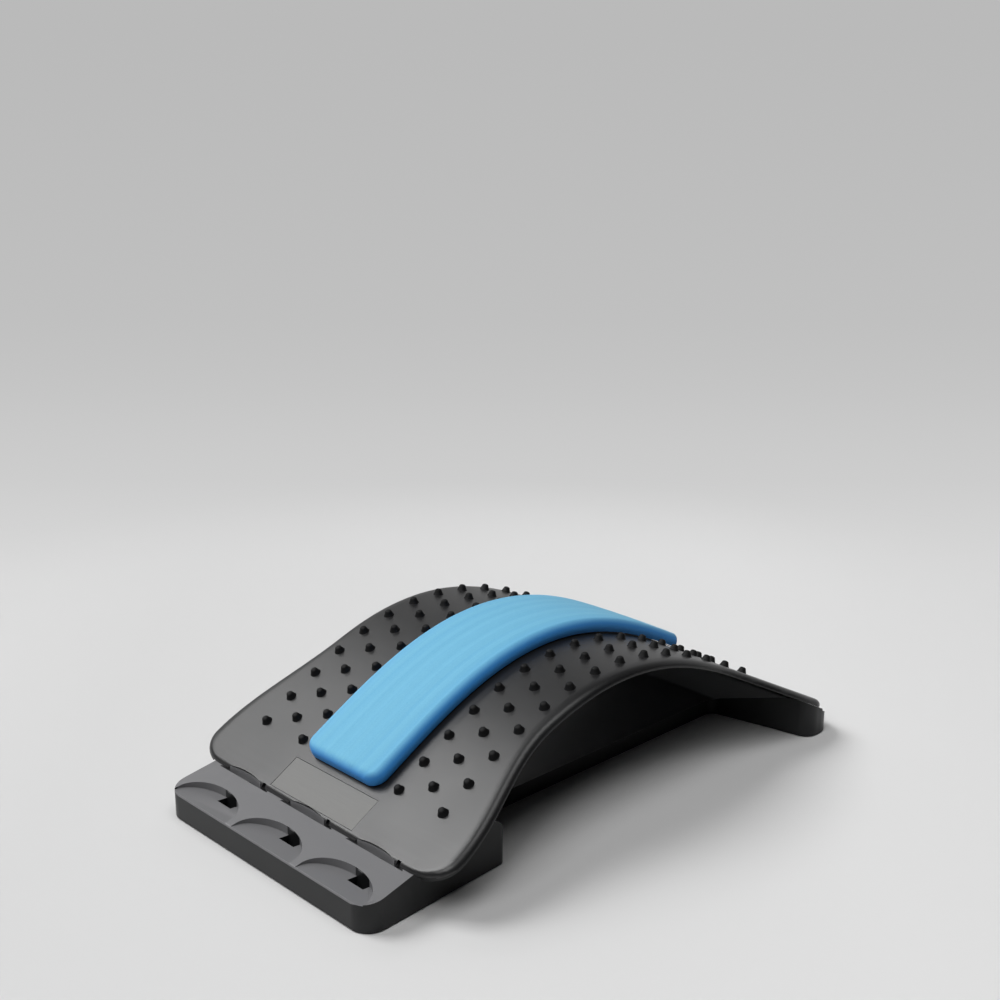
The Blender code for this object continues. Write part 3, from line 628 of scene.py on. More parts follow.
# %% Plate outline
WAIST_HALF_WIDTH = 0.1022
EAR_HALF_WIDTH = 0.122
EAR_FADE = 0.104
FRONT_EAR_LENGTH = 0.020
FRONT_EDGE_INSET = 0.007
BLOCK_HALF_WIDTH = 0.102
REAR_CORNER = 0.014
CORNER_STEPS = 14
FADE_STEPS = 20


def corner_drop(radius, distance):
    """How far a rounded corner still lies inside, at a distance from the end that it rounds."""
    short = max(0.0, radius - distance)
    return radius - math.sqrt(radius * radius - short * short)


def ear_fade(distance):
    """Half width at a distance from an ear's widest place towards the waist."""
    share = min(1.0, max(0.0, distance) / EAR_FADE)
    return WAIST_HALF_WIDTH + (EAR_HALF_WIDTH - WAIST_HALF_WIDTH) * (1.0 + math.cos(math.pi * share)) / 2


def half_width(s):
    """Half width of the plate: oval ears in front, a waist, and ears that match the heel's corners."""
    if s < FRONT_EAR_LENGTH:
        depth = EAR_HALF_WIDTH - BLOCK_HALF_WIDTH + FRONT_EDGE_INSET
        return EAR_HALF_WIDTH - depth * corner_drop(FRONT_EAR_LENGTH, s) / FRONT_EAR_LENGTH
    if s > ARCH_LENGTH - REAR_CORNER:
        return EAR_HALF_WIDTH - corner_drop(REAR_CORNER, ARCH_LENGTH - s)
    return max(ear_fade(s - FRONT_EAR_LENGTH), ear_fade(ARCH_LENGTH - REAR_CORNER - s))


def arc_stations(length, steps):
    """Distances from an end that step evenly round a quarter circle of this size."""
    return [length * (1 - math.cos(math.pi / 2 * k / steps)) for k in range(steps)]


def plate_outline(inset):
    """Closed outline of the flat plate, moved inwards by inset."""
    fade = [EAR_FADE * k / FADE_STEPS for k in range(FADE_STEPS + 1)]
    front = arc_stations(FRONT_EAR_LENGTH, CORNER_STEPS) + [FRONT_EAR_LENGTH + s for s in fade]
    rear = arc_stations(REAR_CORNER, CORNER_STEPS) + [REAR_CORNER + s for s in fade]
    stations = front + [ARCH_LENGTH - s for s in reversed(rear)]
    side = [Vector((s, half_width(s))) for s in stations]
    moved = []
    for i, point in enumerate(side):
        along = (side[min(i + 1, len(side) - 1)] - side[max(i - 1, 0)]).normalized()
        moved.append(point + Vector((along.y, -along.x)) * inset)
    moved[0] = Vector((inset, moved[0].y))
    moved[-1] = Vector((ARCH_LENGTH - inset, moved[-1].y))
    upper = [(p.x, p.y) for p in moved]
    return upper + [(x, -y) for x, y in reversed(upper)]


print("plate outline points:", len(plate_outline(0.0)))

# %% [markdown]
# ## The nubs
# Each nub is a blunt cone with a round tip, which the mould's drilled pits give. A nub is turned from a short
# profile, ring by ring, and sunk a little into the plate, so that joining it leaves no gap at its foot.

# %% Nubs
NUB_PITCH = 0.0234
NUB_FIRST = 0.041
NUB_REAR_MARGIN = 0.062
NUB_COLUMNS = (0.0478, 0.0678, 0.0876)
NUB_SIDES = 20
NUB_ROOT = 0.0008
NUB_FOOT = 0.0004
NUB_RADIUS = 0.0033
NUB_SHOULDER_RADIUS = 0.0023
NUB_SHOULDER = 0.0029
NUB_HEIGHT = 0.0041
NUB_DOME_STEPS = 5


def nub_places():
    """Distance along and place across of each nub; the middle columns sit half a pitch on."""
    places = []
    for column, y in enumerate(NUB_COLUMNS):
        s = NUB_FIRST + NUB_PITCH / 2 * (column % 2)
        while s < ARCH_LENGTH - NUB_REAR_MARGIN:
            places += [(s, y), (s, -y)]
            s += NUB_PITCH
    return places


def nub_profile():
    """Radius and height of a nub from its root: a small foot, a cone, and a rounded tip."""
    foot = NUB_RADIUS + NUB_FOOT
    profile = [(foot, -NUB_ROOT), (foot, 0.0), (NUB_RADIUS, NUB_FOOT)]
    for k in range(NUB_DOME_STEPS):
        turn = math.pi / 2 * k / NUB_DOME_STEPS
        rise = (NUB_HEIGHT - NUB_SHOULDER) * math.sin(turn)
        profile.append((NUB_SHOULDER_RADIUS * math.cos(turn), NUB_SHOULDER + rise))
    return profile


def skin_over(bm, sections):
    """Closed skin over a row of sections that all have the same number of points."""
    rings = [[bm.verts.new(point) for point in section] for section in sections]
    for low, high in zip(rings, rings[1:]):
        for k in range(len(low)):
            j = (k + 1) % len(low)
            bm.faces.new((low[k], low[j], high[j], high[k]))
    bm.faces.new(rings[0])
    bm.faces.new(rings[-1])


def nubs():
    """All nubs as turned shapes, with the painted shade of their steep sides."""
    bm = bmesh.new()
    turns = [2 * math.pi * k / NUB_SIDES for k in range(NUB_SIDES)]
    for s, y in nub_places():
        skin_over(bm, [[(s + radius * math.cos(t), y + radius * math.sin(t), height) for t in turns]
                       for radius, height in nub_profile()])
    # Painted shade: the nubs take the darker copy of the plate's plastic.
    for face in bm.faces:
        face.material_index = NUB_PAINTED_SHADE
    return from_bmesh("nubs", bm)


print("nubs:", len(nub_places()))

# %% The plate's rolled edges
RIM_DEPTH = 0.005
EDGE_RADIUS = 0.004
EDGE_SEGMENTS = 7
TOP_TOLERANCE = 1e-7
CORNER_ANGLE = 0.5
ROLL_REACH = 0.009
ROLL_DROP = 0.0016
ROLL_RINGS = 5


def in_top(part):
    """Whether an edge or a face of the flat plate lies in its top."""
    return all(abs(v.co.z) < TOP_TOLERANCE for v in part.verts)


def is_corner(edge):
    """Whether the two faces at this edge meet at a clear angle."""
    return len(edge.link_faces) == 2 and edge.calc_face_angle() > CORNER_ANGLE


def round_top_edge(obj):
    """Roll over the edge between the top face and the side wall."""
    with edited(obj) as bm:
        edges = [e for e in bm.edges if in_top(e) and is_corner(e)]
        bmesh.ops.bevel(bm, geom=edges, offset=EDGE_RADIUS, segments=EDGE_SEGMENTS, affect="EDGES",
                        profile=0.5)
    return obj


def roll_sides(obj):
    """Let the top sag a little towards the two long edges, so that they roll over softly."""
    with edited(obj) as bm:
        top = [f for f in bm.faces if in_top(f)]
        for _ in range(ROLL_RINGS):
            bmesh.ops.inset_region(bm, faces=top, thickness=(ROLL_REACH - EDGE_RADIUS) / ROLL_RINGS)
        for v in bm.verts:
            s = min(max(v.co.x, 0.0), ARCH_LENGTH)
            near = max(0.0, 1.0 - max(0.0, half_width(s) - abs(v.co.y)) / ROLL_REACH)
            from_end = min(s, ARCH_LENGTH - s)
            fade = min(1.0, from_end / FRONT_EAR_LENGTH)
            v.co.z -= ROLL_DROP * near * near * fade * (1.0 + v.co.z / RIM_DEPTH)
    return obj


print("edges roll over within mm:", round(1000 * ROLL_REACH, 1))

# %% Bites and lip
CUT_MARGIN = 0.01
SOCKET_SPACING = 0.066
SOCKETS = [SOCKET_SPACING * k for k in (-1, 0, 1)]
TONGUE_HALF_WIDTH = 0.0190
NOTCH_WIDTH = 0.003
NOTCH_LENGTH = 0.0036
OVAL_POINTS = 25


def front_bites():
    """Half-oval bites in the front edge, one over each tongue, each with a notch beside its peg."""
    bites = []
    for y in SOCKETS:
        notch = y - TONGUE_HALF_WIDTH
        bites.append(block("notch", (-CUT_MARGIN, notch - NOTCH_WIDTH, -RIM_DEPTH - CUT_MARGIN),
                           (NOTCH_LENGTH, notch, CUT_MARGIN)))
        turns = np.linspace(-math.pi / 2, math.pi / 2, OVAL_POINTS)
        oval = [(TONGUE_BITE * math.cos(a), y + TONGUE_HALF_WIDTH * math.sin(a)) for a in turns]
        outside = [(-CUT_MARGIN, y + TONGUE_HALF_WIDTH), (-CUT_MARGIN, notch)]
        bites.append(prism("bite", oval + outside, -RIM_DEPTH - CUT_MARGIN, CUT_MARGIN))
    return bites


def lip_wedge():
    """Wedge that feathers the underside of the front lip until it lies on the ramp."""
    reach = FRONT_EAR_LENGTH
    fall = math.tan(FRONT_SLOPE - math.atan(RAMP_RISE)) * reach
    start = -LIP_THICKNESS * math.sin(FRONT_SLOPE)
    under = -LIP_THICKNESS * math.cos(FRONT_SLOPE)
    outline = [(start - reach, under + fall), (start - reach, under - fall), (start + reach, under - fall)]
    return side_prism("lip_wedge", outline, BLOCK_HALF_WIDTH + SEAT_GAP)


print("bites at y in mm:", [round(1000 * y) for y in SOCKETS])

# %% Flat plate with its cut-outs
PLATE_THICKNESS = 0.003
RIM_WALL = 0.0028
RIB_HALF_SPACING = 0.034
RIB_WALL = 0.002
RIB_DEPTH = 0.0045
PANEL_START = 0.0045
PANEL_LENGTH = 0.0245
PANEL_HALF_WIDTH = 0.041
PANEL_THICKNESS = 0.0006
PANEL_DROP = 0.0001
SLICE = NUB_PITCH / 6
PLATE_SHADE_LIMIT = 0.35


def hollow_out(plate):
    """Cut the inside, and open the front, where the thin lip lies on the ramp."""
    below = -RIM_DEPTH - CUT_MARGIN
    front = BLOCK_HALF_WIDTH + RIM_WALL
    combine(plate, prism("hollow", plate_outline(RIM_WALL), below, -PLATE_THICKNESS), "DIFFERENCE")
    opening = block("open_front", (-CUT_MARGIN, -front, below), (FRONT_EAR_LENGTH, front, -PLATE_THICKNESS))
    combine(plate, opening, "DIFFERENCE")
    combine(plate, lip_wedge(), "DIFFERENCE")


def add_ribs(plate):
    """Two ribs along the underside, as long as the bend."""
    for side in (-1, 1):
        y = side * RIB_HALF_SPACING
        rib = block("rib", (FRONT_STRAIGHT, y - RIB_WALL / 2, -PLATE_THICKNESS - RIB_DEPTH),
                    (FRONT_STRAIGHT + BEND_LENGTH, y + RIB_WALL / 2, -PLATE_THICKNESS / 2))
        combine(plate, rib, "UNION")


def panel_recess():
    """Tool for the shallow recess that the bare panel lies in."""
    return block("recess", (PANEL_START, -PANEL_HALF_WIDTH, -PANEL_DROP - PANEL_THICKNESS - SEAT_GAP),
                 (PANEL_START + PANEL_LENGTH, PANEL_HALF_WIDTH, CUT_MARGIN))


def flat_plate():
    """The plate before it is bent."""
    plate = prism("arch_shell", plate_outline(0.0), -RIM_DEPTH, 0.0)
    add_material_slots(plate, PLATE_SATIN_AND_PAINTED_TONES)
    round_top_edge(plate)
    roll_sides(plate)
    hollow_out(plate)
    for bite in front_bites():
        combine(plate, bite, "DIFFERENCE")
    add_ribs(plate)
    combine(plate, panel_recess(), "DIFFERENCE")
    slice_along(plate, SLICE, ARCH_LENGTH - SLICE, SLICE)
    studs = nubs()
    add_material_slots(studs, PLATE_SATIN_AND_PAINTED_TONES)
    combine(plate, studs, "UNION")
    # Painted shade: the plate's faces that don't look up, such as its rolled edges, walls and underside, take
    # the darker copy.
    paint_shade_from(plate, PLATE_SHADE_LIMIT, SATIN, PLATE_PAINTED_SHADE)
    return triangulate(plate)


print("panel in mm:", round(1000 * PANEL_LENGTH, 1), "x", round(2000 * PANEL_HALF_WIDTH, 1))

# %% [markdown]
# ## Tongues, lugs and the bend
# Three tongues stand in the board's pockets and three lugs hang in the heel's slots. They are upright on the
# finished plate, so they are joined after the bend. Bent with the plate, they would lean.

# %% Tongues and lugs
LUG_WIDTH = 0.018
LUG_THICKNESS = 0.003
LUG_ROOT = 0.0042
LUG_REACH = 0.006
TONGUE_SPREAD = 0.0169
TONGUE_ROOT = 0.0006


def tongue_wall(y):
    """Curved wall that drops from a bite onto its landing."""
    bite = TONGUE_BITE * math.cos(FRONT_SLOPE)
    offsets = np.linspace(-TONGUE_SPREAD, TONGUE_SPREAD, OVAL_POINTS)
    front = [(EDGE_X + bite * math.sqrt(1 - (o / TONGUE_HALF_WIDTH) ** 2), y + float(o)) for o in offsets]
    outline = front + [(x + TONGUE_WALL, side) for x, side in reversed(front)]
    wall = prism("tongue", outline, landing_height(USED_ROW, EDGE_X) + SEAT_GAP, EDGE_Z + TONGUE_ROOT)
    wall.data.transform(Matrix.Translation(TO_FRAME))
    add_material_slots(wall, PLATE_SATIN_AND_PAINTED_TONES)
    # Painted light: the tongues stand in the shade of the plate's edge and take the paler copy.
    for face in wall.data.polygons:
        face.material_index = PLATE_PAINTED_LIGHT
    return wall


def rear_lug(y):
    """Lug under the rear rim that keeps the plate in the heel."""
    lug = block("lug", (HINGE.x - LUG_THICKNESS, y - LUG_WIDTH / 2, HINGE.z - LUG_REACH),
                (HINGE.x, y + LUG_WIDTH / 2, HINGE.z + LUG_ROOT))
    lug.data.transform(Matrix.Translation(TO_FRAME))
    return lug


print("lugs reach down in mm:", round(1000 * LUG_REACH, 1))


# %% Bend the plate and put it in its place
def arch_shell():
    """The whole plate: bent first, then joined to the tongues and lugs."""
    plate = lay_on_arch(flat_plate())
    for y in SOCKETS:
        combine(plate, tongue_wall(y), "UNION")
        combine(plate, rear_lug(y), "UNION")
    return shade(plate)


plate = arch_shell()
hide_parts("arch_plate")
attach(plate, "arch")
print("plate faces:", len(plate.data.polygons))

# %% [markdown]
# ## The base board
# The board is one open-bottomed moulding: a low step block with half-oval pockets, a thin plank and a wide
# heel. A plan outline and a side outline are intersected, which gives both sets of curves at once, and then
# the pockets and holes are cut. Stacked boxes would need each of their joins rounded by hand.

# %% Board solid
BOARD_BOTTOM = 0.001
BLOCK_LENGTH = 0.1145
BLOCK_BACK_HALF_WIDTH = 0.095
BLOCK_CORNER = 0.013
BLOCK_BACK_CORNER = 0.005
BLOCK_FRONT_ROUNDING = 0.0015
BLOCK_BACK_ROUNDING = 0.014
RAMP_LENGTH = 0.072
RAMP_BLEND = 0.006
PLANK_HALF_WIDTH = 0.045
PLANK_HEIGHT = 0.012
PLANK_FILLET = 0.003
PLANK_CORNER = 0.008
HEEL_LENGTH = 0.044
HEEL_SLANT = 0.016
HEEL_RAKE = 0.0128
HEEL_FRONT_CORNER = 0.011
HEEL_ROUNDING = 0.003
HEEL_SEAT_DROP = 0.0016
HEEL_GROOVE_REACH = 0.003
HEEL_GROOVE_DEPTH = 0.0015
HEEL_FRONT = BOARD_END - HEEL_LENGTH


def heel_top(x):
    """Height of the heel's top, parallel to the plate's rear slope."""
    return HINGE.z - HEEL_SEAT_DROP + (HINGE.x - x) * math.tan(REAR_SLOPE)


BOARD_TOP = max(ramp_height(RAMP_LENGTH), heel_top(HEEL_FRONT) + HEEL_GROOVE_DEPTH)


def board_plan():
    """Seen from above: step block, narrow plank and wide heel."""
    return rounded(mirrored([
        (0.0, BLOCK_HALF_WIDTH, BLOCK_CORNER),
        (BLOCK_LENGTH, BLOCK_BACK_HALF_WIDTH, BLOCK_BACK_CORNER),
        (BLOCK_LENGTH, PLANK_HALF_WIDTH, PLANK_CORNER),
        (HEEL_FRONT, PLANK_HALF_WIDTH, PLANK_CORNER),
        (HEEL_FRONT + HEEL_SLANT, EAR_HALF_WIDTH, HEEL_FRONT_CORNER),
        (BOARD_END, EAR_HALF_WIDTH, REAR_CORNER),
    ]))


def board_profile():
    """Seen from the side: the ramp, the plank and the heel."""
    top = ramp_height(RAMP_LENGTH)
    heel = HEEL_FRONT + HEEL_RAKE
    groove = HINGE.x - HEEL_GROOVE_REACH
    return rounded([
        (0.0, BOARD_BOTTOM, 0.0),
        (0.0, FRONT_HEIGHT, BLOCK_FRONT_ROUNDING),
        (RAMP_LENGTH, top, RAMP_BLEND),
        (BLOCK_LENGTH, top, BLOCK_BACK_ROUNDING),
        (BLOCK_LENGTH, PLANK_HEIGHT, PLANK_FILLET),
        (HEEL_FRONT, PLANK_HEIGHT, PLANK_FILLET),
        (heel, heel_top(heel) + HEEL_GROOVE_DEPTH, HEEL_ROUNDING),
        (groove, heel_top(groove) + HEEL_GROOVE_DEPTH, 0.0),
        (groove, heel_top(groove), 0.0),
        (BOARD_END, heel_top(BOARD_END), HEEL_ROUNDING),
        (BOARD_END, BOARD_BOTTOM, 0.0),
    ])


print("board top in mm:", round(1000 * BOARD_TOP, 1))

# %% Pockets, holes and slots
SOCKET_ROWS = 3
SCOOP_HALF_WIDTH = 0.030
POCKET_LENGTH = 0.0087
POCKET_POINTS = 41
HOLE_OFFSET = -0.0082
HOLE_WIDTH = 0.0144
HOLE_LENGTH = 0.0072
HOLE_DEPTH = 0.006
HOLE_RELIEF = 0.0045
LUG_CLEARANCE = 0.001
LUG_SWING = math.radians(60)


def pocket(row, y):
    """Half-oval pocket with an upright riser; the first row's is open to the front."""
    centre = SCOOP_CENTRE + ROW_PITCH * row
    depth = SCOOP_DEPTH if row == 0 else POCKET_LENGTH
    reach = math.acos(1 - depth / SCOOP_DEPTH)
    outline = [(centre + SCOOP_DEPTH * math.cos(a), y + SCOOP_HALF_WIDTH * math.sin(a))
               for a in np.linspace(-reach, reach, POCKET_POINTS)]
    if row == 0:
        outline += [(-CUT_MARGIN, y + SCOOP_HALF_WIDTH), (-CUT_MARGIN, y - SCOOP_HALF_WIDTH)]
    tool = prism("pocket", outline, landing_height(row, 0.0), BOARD_TOP + CUT_MARGIN)
    tilt = Matrix.Identity(4)
    tilt[2][0] = -LANDING_TILT
    tool.data.transform(tilt)
    return tool


def locking_hole(row, y):
    """Hole at the foot of a riser, open a little above the landing, where a tongue's peg locks."""
    floor = landing_height(row, riser_x(row))
    middle = y + HOLE_OFFSET
    return block("hole", (riser_x(row) - HOLE_LENGTH, middle - HOLE_WIDTH / 2, floor - HOLE_DEPTH),
                 (riser_x(row), middle + HOLE_WIDTH / 2, floor + HOLE_RELIEF))


def lug_slot(y):
    """Slot in the heel, long enough for a lug to swing forward in it."""
    swing = LUG_REACH * math.sin(LUG_SWING)
    return block("slot", (HINGE.x - LUG_THICKNESS - swing - LUG_CLEARANCE, y - LUG_WIDTH / 2 - LUG_CLEARANCE,
                          HINGE.z - LUG_REACH - LUG_CLEARANCE),
                 (HINGE.x + LUG_CLEARANCE, y + LUG_WIDTH / 2 + LUG_CLEARANCE, BOARD_TOP))


print("pockets and holes:", SOCKET_ROWS * len(SOCKETS))

# %% [markdown]
# ## The board's underside
# A moulding this thick would sink as it cools, so such boards are hollow from below, with thin ribs. Each
# hollow cell is a box that is cut out. A grid of spans gives the boxes, which keeps the ribs equally thick.

# %% Underside
SKIN = 0.003
RIB = 0.0025
MAX_CELL = 0.036
FOOT_RADIUS = 0.009
FOOT_THICKNESS = 0.003
FOOT_BOSS_HEIGHT = 0.008
FOOT_SIDES = 48
FOOT_NAMES = sorted(node for node in frame["nodes"] if node.startswith("foot_"))


def split(low, high):
    """Equal spans under the largest cell, with a rib between neighbours."""
    count = math.ceil((high - low) / MAX_CELL)
    pitch = (high - low + RIB) / count
    return [(low + k * pitch, low + (k + 1) * pitch - RIB) for k in range(count)]


def socket_bays():
    """Spans across the block: each socket has a bay for its hole and a bay beside it."""
    limit = BLOCK_BACK_HALF_WIDTH - SKIN
    half = SOCKET_SPACING / 2
    bays = []
    for y in SOCKETS:
        bays.append((max(y - half + RIB / 2, -limit), y))
        bays.append((y + RIB, min(y + half - RIB / 2, limit)))
    return bays


def cell_grid(spans_x, spans_y, ceiling):
    """Hollow cells, open below, at every crossing of the two sets of spans."""
    return [block("cell", (x[0], y[0], -CUT_MARGIN), (x[1], y[1], ceiling)) for x in spans_x for y in spans_y]


def underside_cells():
    """Cells that lighten the block, the plank and the heel, with ribs left between them."""
    bays = socket_bays()
    cells = []
    for row in range(SOCKET_ROWS):
        riser = riser_x(row)
        front = max(SKIN, riser - ROW_PITCH + RIB)
        cells += cell_grid([(front, riser)], bays, landing_height(row, riser) - SKIN)
    last = riser_x(SOCKET_ROWS - 1)
    cells += cell_grid(split(last + RIB, BLOCK_LENGTH - BLOCK_BACK_ROUNDING), bays, ramp_height(last) - SKIN)
    plank = PLANK_HALF_WIDTH - SKIN
    cells += cell_grid(split(BLOCK_LENGTH + RIB, HEEL_FRONT - RIB), split(-plank, plank), PLANK_HEIGHT - SKIN)
    heel = EAR_HALF_WIDTH - REAR_CORNER
    floor = HINGE.z - LUG_REACH - LUG_CLEARANCE - SKIN
    cells += cell_grid([(HEEL_FRONT + HEEL_SLANT + SKIN, BOARD_END - SKIN)], split(-heel, heel), floor)
    return gather("cells", cells)


def round_tool(radius, middle, low, high):
    """Upright round tool for a foot's boss or recess."""
    turns = [2 * math.pi * k / FOOT_SIDES for k in range(FOOT_SIDES)]
    outline = [(middle.x + radius * math.cos(t), middle.y + radius * math.sin(t)) for t in turns]
    return prism("round", outline, low, high)


def foot_middles():
    """Middle of each rubber foot, from the frame."""
    corners = [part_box(name) for name in FOOT_NAMES]
    return [(low + high) / 2 - TO_FRAME for low, high in corners]


def add_foot_seats(board):
    """Boss over each rubber foot, with a recess that the foot is glued into."""
    feet = foot_middles()
    bosses = [round_tool(FOOT_RADIUS + SKIN, foot, BOARD_BOTTOM, FOOT_BOSS_HEIGHT) for foot in feet]
    combine(board, gather("bosses", bosses), "UNION")
    top = FOOT_THICKNESS + SEAT_GAP
    recesses = [round_tool(FOOT_RADIUS + SEAT_GAP, foot, -CUT_MARGIN, top) for foot in feet]
    combine(board, gather("recesses", recesses), "DIFFERENCE")


print("feet:", len(FOOT_NAMES))

# %% Painted light and shade on the board's faces
HOLD_WIDTH = 0.0004
HOLD_AREA = 0.00006
EDGE_ROUND = 0.0007
FINISH_MARGIN = 0.0005
BOARD_SHADE_LIMIT = 0.2


def hold_flats(obj):
    """Narrow border inside each large face, so that smooth shading stays at its edges."""
    with edited(obj) as bm:
        flats = [f for f in bm.faces if f.calc_area() > HOLD_AREA]
        bmesh.ops.inset_individual(bm, faces=flats, thickness=HOLD_WIDTH, use_even_offset=False)
        # Painted light: every face starts with the paler copy.
        for face in bm.faces:
            face.material_index = BOARD_PAINTED_LIGHT
    return obj


def in_hole(place):
    """Whether a face lies in a locking hole, which keeps the painted shade."""
    for row in range(SOCKET_ROWS):
        back = riser_x(row) + FINISH_MARGIN
        along = back - HOLE_LENGTH - 2 * FINISH_MARGIN < place.x < back
        low = place.z < landing_height(row, place.x) + HOLE_RELIEF + FINISH_MARGIN
        across = min(abs(place.y - y - HOLE_OFFSET) for y in SOCKETS) < HOLE_WIDTH / 2 + FINISH_MARGIN
        if along and low and across:
            return True
    return False


def paint_light_on_risers(obj):
    """Painted light on the pockets' upright risers, as on the landings; only their locking holes keep the
    painted shade.
    """
    reach = SOCKET_SPACING + SCOOP_HALF_WIDTH
    for face in obj.data.polygons:
        place = face.center
        inside = 2 * EDGE_ROUND < place.x < RAMP_LENGTH and abs(place.y) < reach
        if inside and place.z > LANDING_HEIGHT - FINISH_MARGIN and not in_hole(place):
            face.material_index = BOARD_PAINTED_LIGHT


def paint_board_light_and_shade(board):
    """Painted light on the steps, risers and tops, and painted shade on the walls and underside."""
    hold_flats(board)
    board.data.materials.clear()
    add_material_slots(board, BOARD_PAINTED_TONES)
    # Painted shade on the board's faces that don't look up, by their normal.
    paint_shade_from(board, BOARD_SHADE_LIMIT, BOARD_PAINTED_LIGHT, BOARD_PAINTED_SHADE)
    paint_light_on_risers(board)
    shade(board)


# %% The board
def board_shell():
    """The whole moulding, drawn from the board's front wall and shifted into the frame."""
    board = prism("board_shell", board_plan(), 0.0, BOARD_TOP + CUT_MARGIN)
    combine(board, side_prism("profile", board_profile(), EAR_HALF_WIDTH + CUT_MARGIN), "INTERSECT")
    for row in range(SOCKET_ROWS):
        combine(board, gather("pockets", [pocket(row, y) for y in SOCKETS[::2]]), "DIFFERENCE")
        combine(board, pocket(row, SOCKETS[1]), "DIFFERENCE")
    soften(board, EDGE_ROUND)
    combine(board, underside_cells(), "DIFFERENCE")
    add_foot_seats(board)
    for row in range(SOCKET_ROWS):
        combine(board, gather("holes", [locking_hole(row, y) for y in SOCKETS]), "DIFFERENCE")
    combine(board, gather("slots", [lug_slot(y) for y in SOCKETS]), "DIFFERENCE")
    paint_board_light_and_shade(board)
    board.data.transform(Matrix.Translation(TO_FRAME))
    return board


board = board_shell()
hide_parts("base_board")
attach(board, "base")
print("board faces:", len(board.data.polygons))

# %% [markdown]
# ## The foam pad
# The pad is a strip of closed-cell foam, cut long and narrow, with rolled edges and faint lengthwise
# channels. It is lofted from cross sections. Each section is a rounded bar, and towards the two ends the
# sections narrow round the corners and their top sinks, so that the ends roll down to the plate. A cloth
# simulation would suit a stuffed cushion, but this foam is stiff and keeps the shape that it was cut to.

# %% Foam material
SKIN_HEX = "73B9D8"
SKIN_DEEP_HEX = "5AA6CE"
PAINTED_SHADE_BLUE_HEX = "3A92E0"
# The real cells are a few tenths of a millimetre wide, too fine to show, so they are drawn coarser.
CELL_MM = 0.9
STREAK_MM = 1.6
STREAK_LONG_MM = 260.0
MOTTLE_LOW = 0.7
MOTTLE_HIGH = 1.3
MOTTLE_SHARE = 0.5
SHADE_RISE_FROM = 0.62
SHADE_RISE_TO = 0.97
CELL_DEPTH = 0.0002
CELL_STRENGTH = 0.35


def foam_mottle(tree, place):
    """Fine cells, plus the long streaks that the knife left when it cut the sheet."""
    stretch = (per_metre(STREAK_LONG_MM), per_metre(STREAK_MM), per_metre(STREAK_LONG_MM))
    drawn = add_node(tree, "ShaderNodeVectorMath", {0: place, 1: stretch}, operation="MULTIPLY")
    streak = add_node(tree, "ShaderNodeTexNoise", {
        "Vector": drawn.outputs["Vector"], "Scale": 1.0, "Detail": 2.0})
    cells = add_node(tree, "ShaderNodeTexNoise", {
        "Vector": place, "Scale": per_metre(CELL_MM), "Detail": 2.0})
    mixed = add_node(tree, "ShaderNodeMath", {
        0: streak.outputs["Fac"], 1: cells.outputs["Fac"]}, operation="ADD")
    return mixed.outputs["Value"]


def blue_foam():
    """Closed-cell foam with painted shade: its sides and lower part are painted a deeper blue than its top.
    """
    mat, tree, shader = plain_material("blue_foam_skived", roughness=0.75, ior=1.45)
    mottle = foam_mottle(tree, add_node(tree, "ShaderNodeTexCoord").outputs["Object"])
    shift = add_node(tree, "ShaderNodeMapRange", {
        "Value": mottle, "From Min": MOTTLE_LOW, "From Max": MOTTLE_HIGH, "To Min": 0.0,
        "To Max": MOTTLE_SHARE})
    skin = add_node(tree, "ShaderNodeMix", {
        "Factor": shift.outputs["Result"], MIX_A: srgb(SKIN_HEX),
        MIX_B: srgb(SKIN_DEEP_HEX)}, data_type="RGBA")
    # Painted shade: low in the foam the colour turns to the deeper blue of the shaded sides.
    rise = add_node(tree, "ShaderNodeAttribute", attribute_name="rise").outputs["Fac"]
    above_shade = add_node(tree, "ShaderNodeMapRange", {
        "Value": rise, "From Min": SHADE_RISE_FROM, "From Max": SHADE_RISE_TO})
    tint = add_node(tree, "ShaderNodeMix", {
        "Factor": above_shade.outputs["Result"], MIX_A: srgb(PAINTED_SHADE_BLUE_HEX),
        MIX_B: skin.outputs[MIX_COLOUR]}, data_type="RGBA")
    bump = add_node(tree, "ShaderNodeBump", {
        "Height": mottle, "Strength": CELL_STRENGTH, "Distance": CELL_DEPTH})
    tree.links.new(tint.outputs[MIX_COLOUR], shader.inputs["Base Color"])
    tree.links.new(bump.outputs["Normal"], shader.inputs["Normal"])
    shader.inputs["Sheen Weight"].default_value = 0.05
    shader.inputs["Sheen Roughness"].default_value = 0.5
    return mat


# %% Pad shape
FILM_THICKNESS = 0.0006
PAD_BASE = FILM_THICKNESS + 2 * SEAT_GAP
PAD_START = 0.0340
PAD_LENGTH = 0.3048
PAD_HALF_WIDTH = 0.0358
PAD_THICKNESS = 0.0096
PAD_ROUNDING = 0.0062
PAD_CORNER = 0.010
PAD_FOOT = 0.0012
PAD_END_ROLL = 0.0058
PAD_DRAW = 0.0005
PAD_CROWN = 0.0004
PAD_CHANNELS = 5
PAD_CHANNEL_DEPTH = 0.00025
PAD_STATIONS = 90
CHANNEL_STEPS = 12
SIDE_BULGE = 0.8
ROUND_STEPS = 8


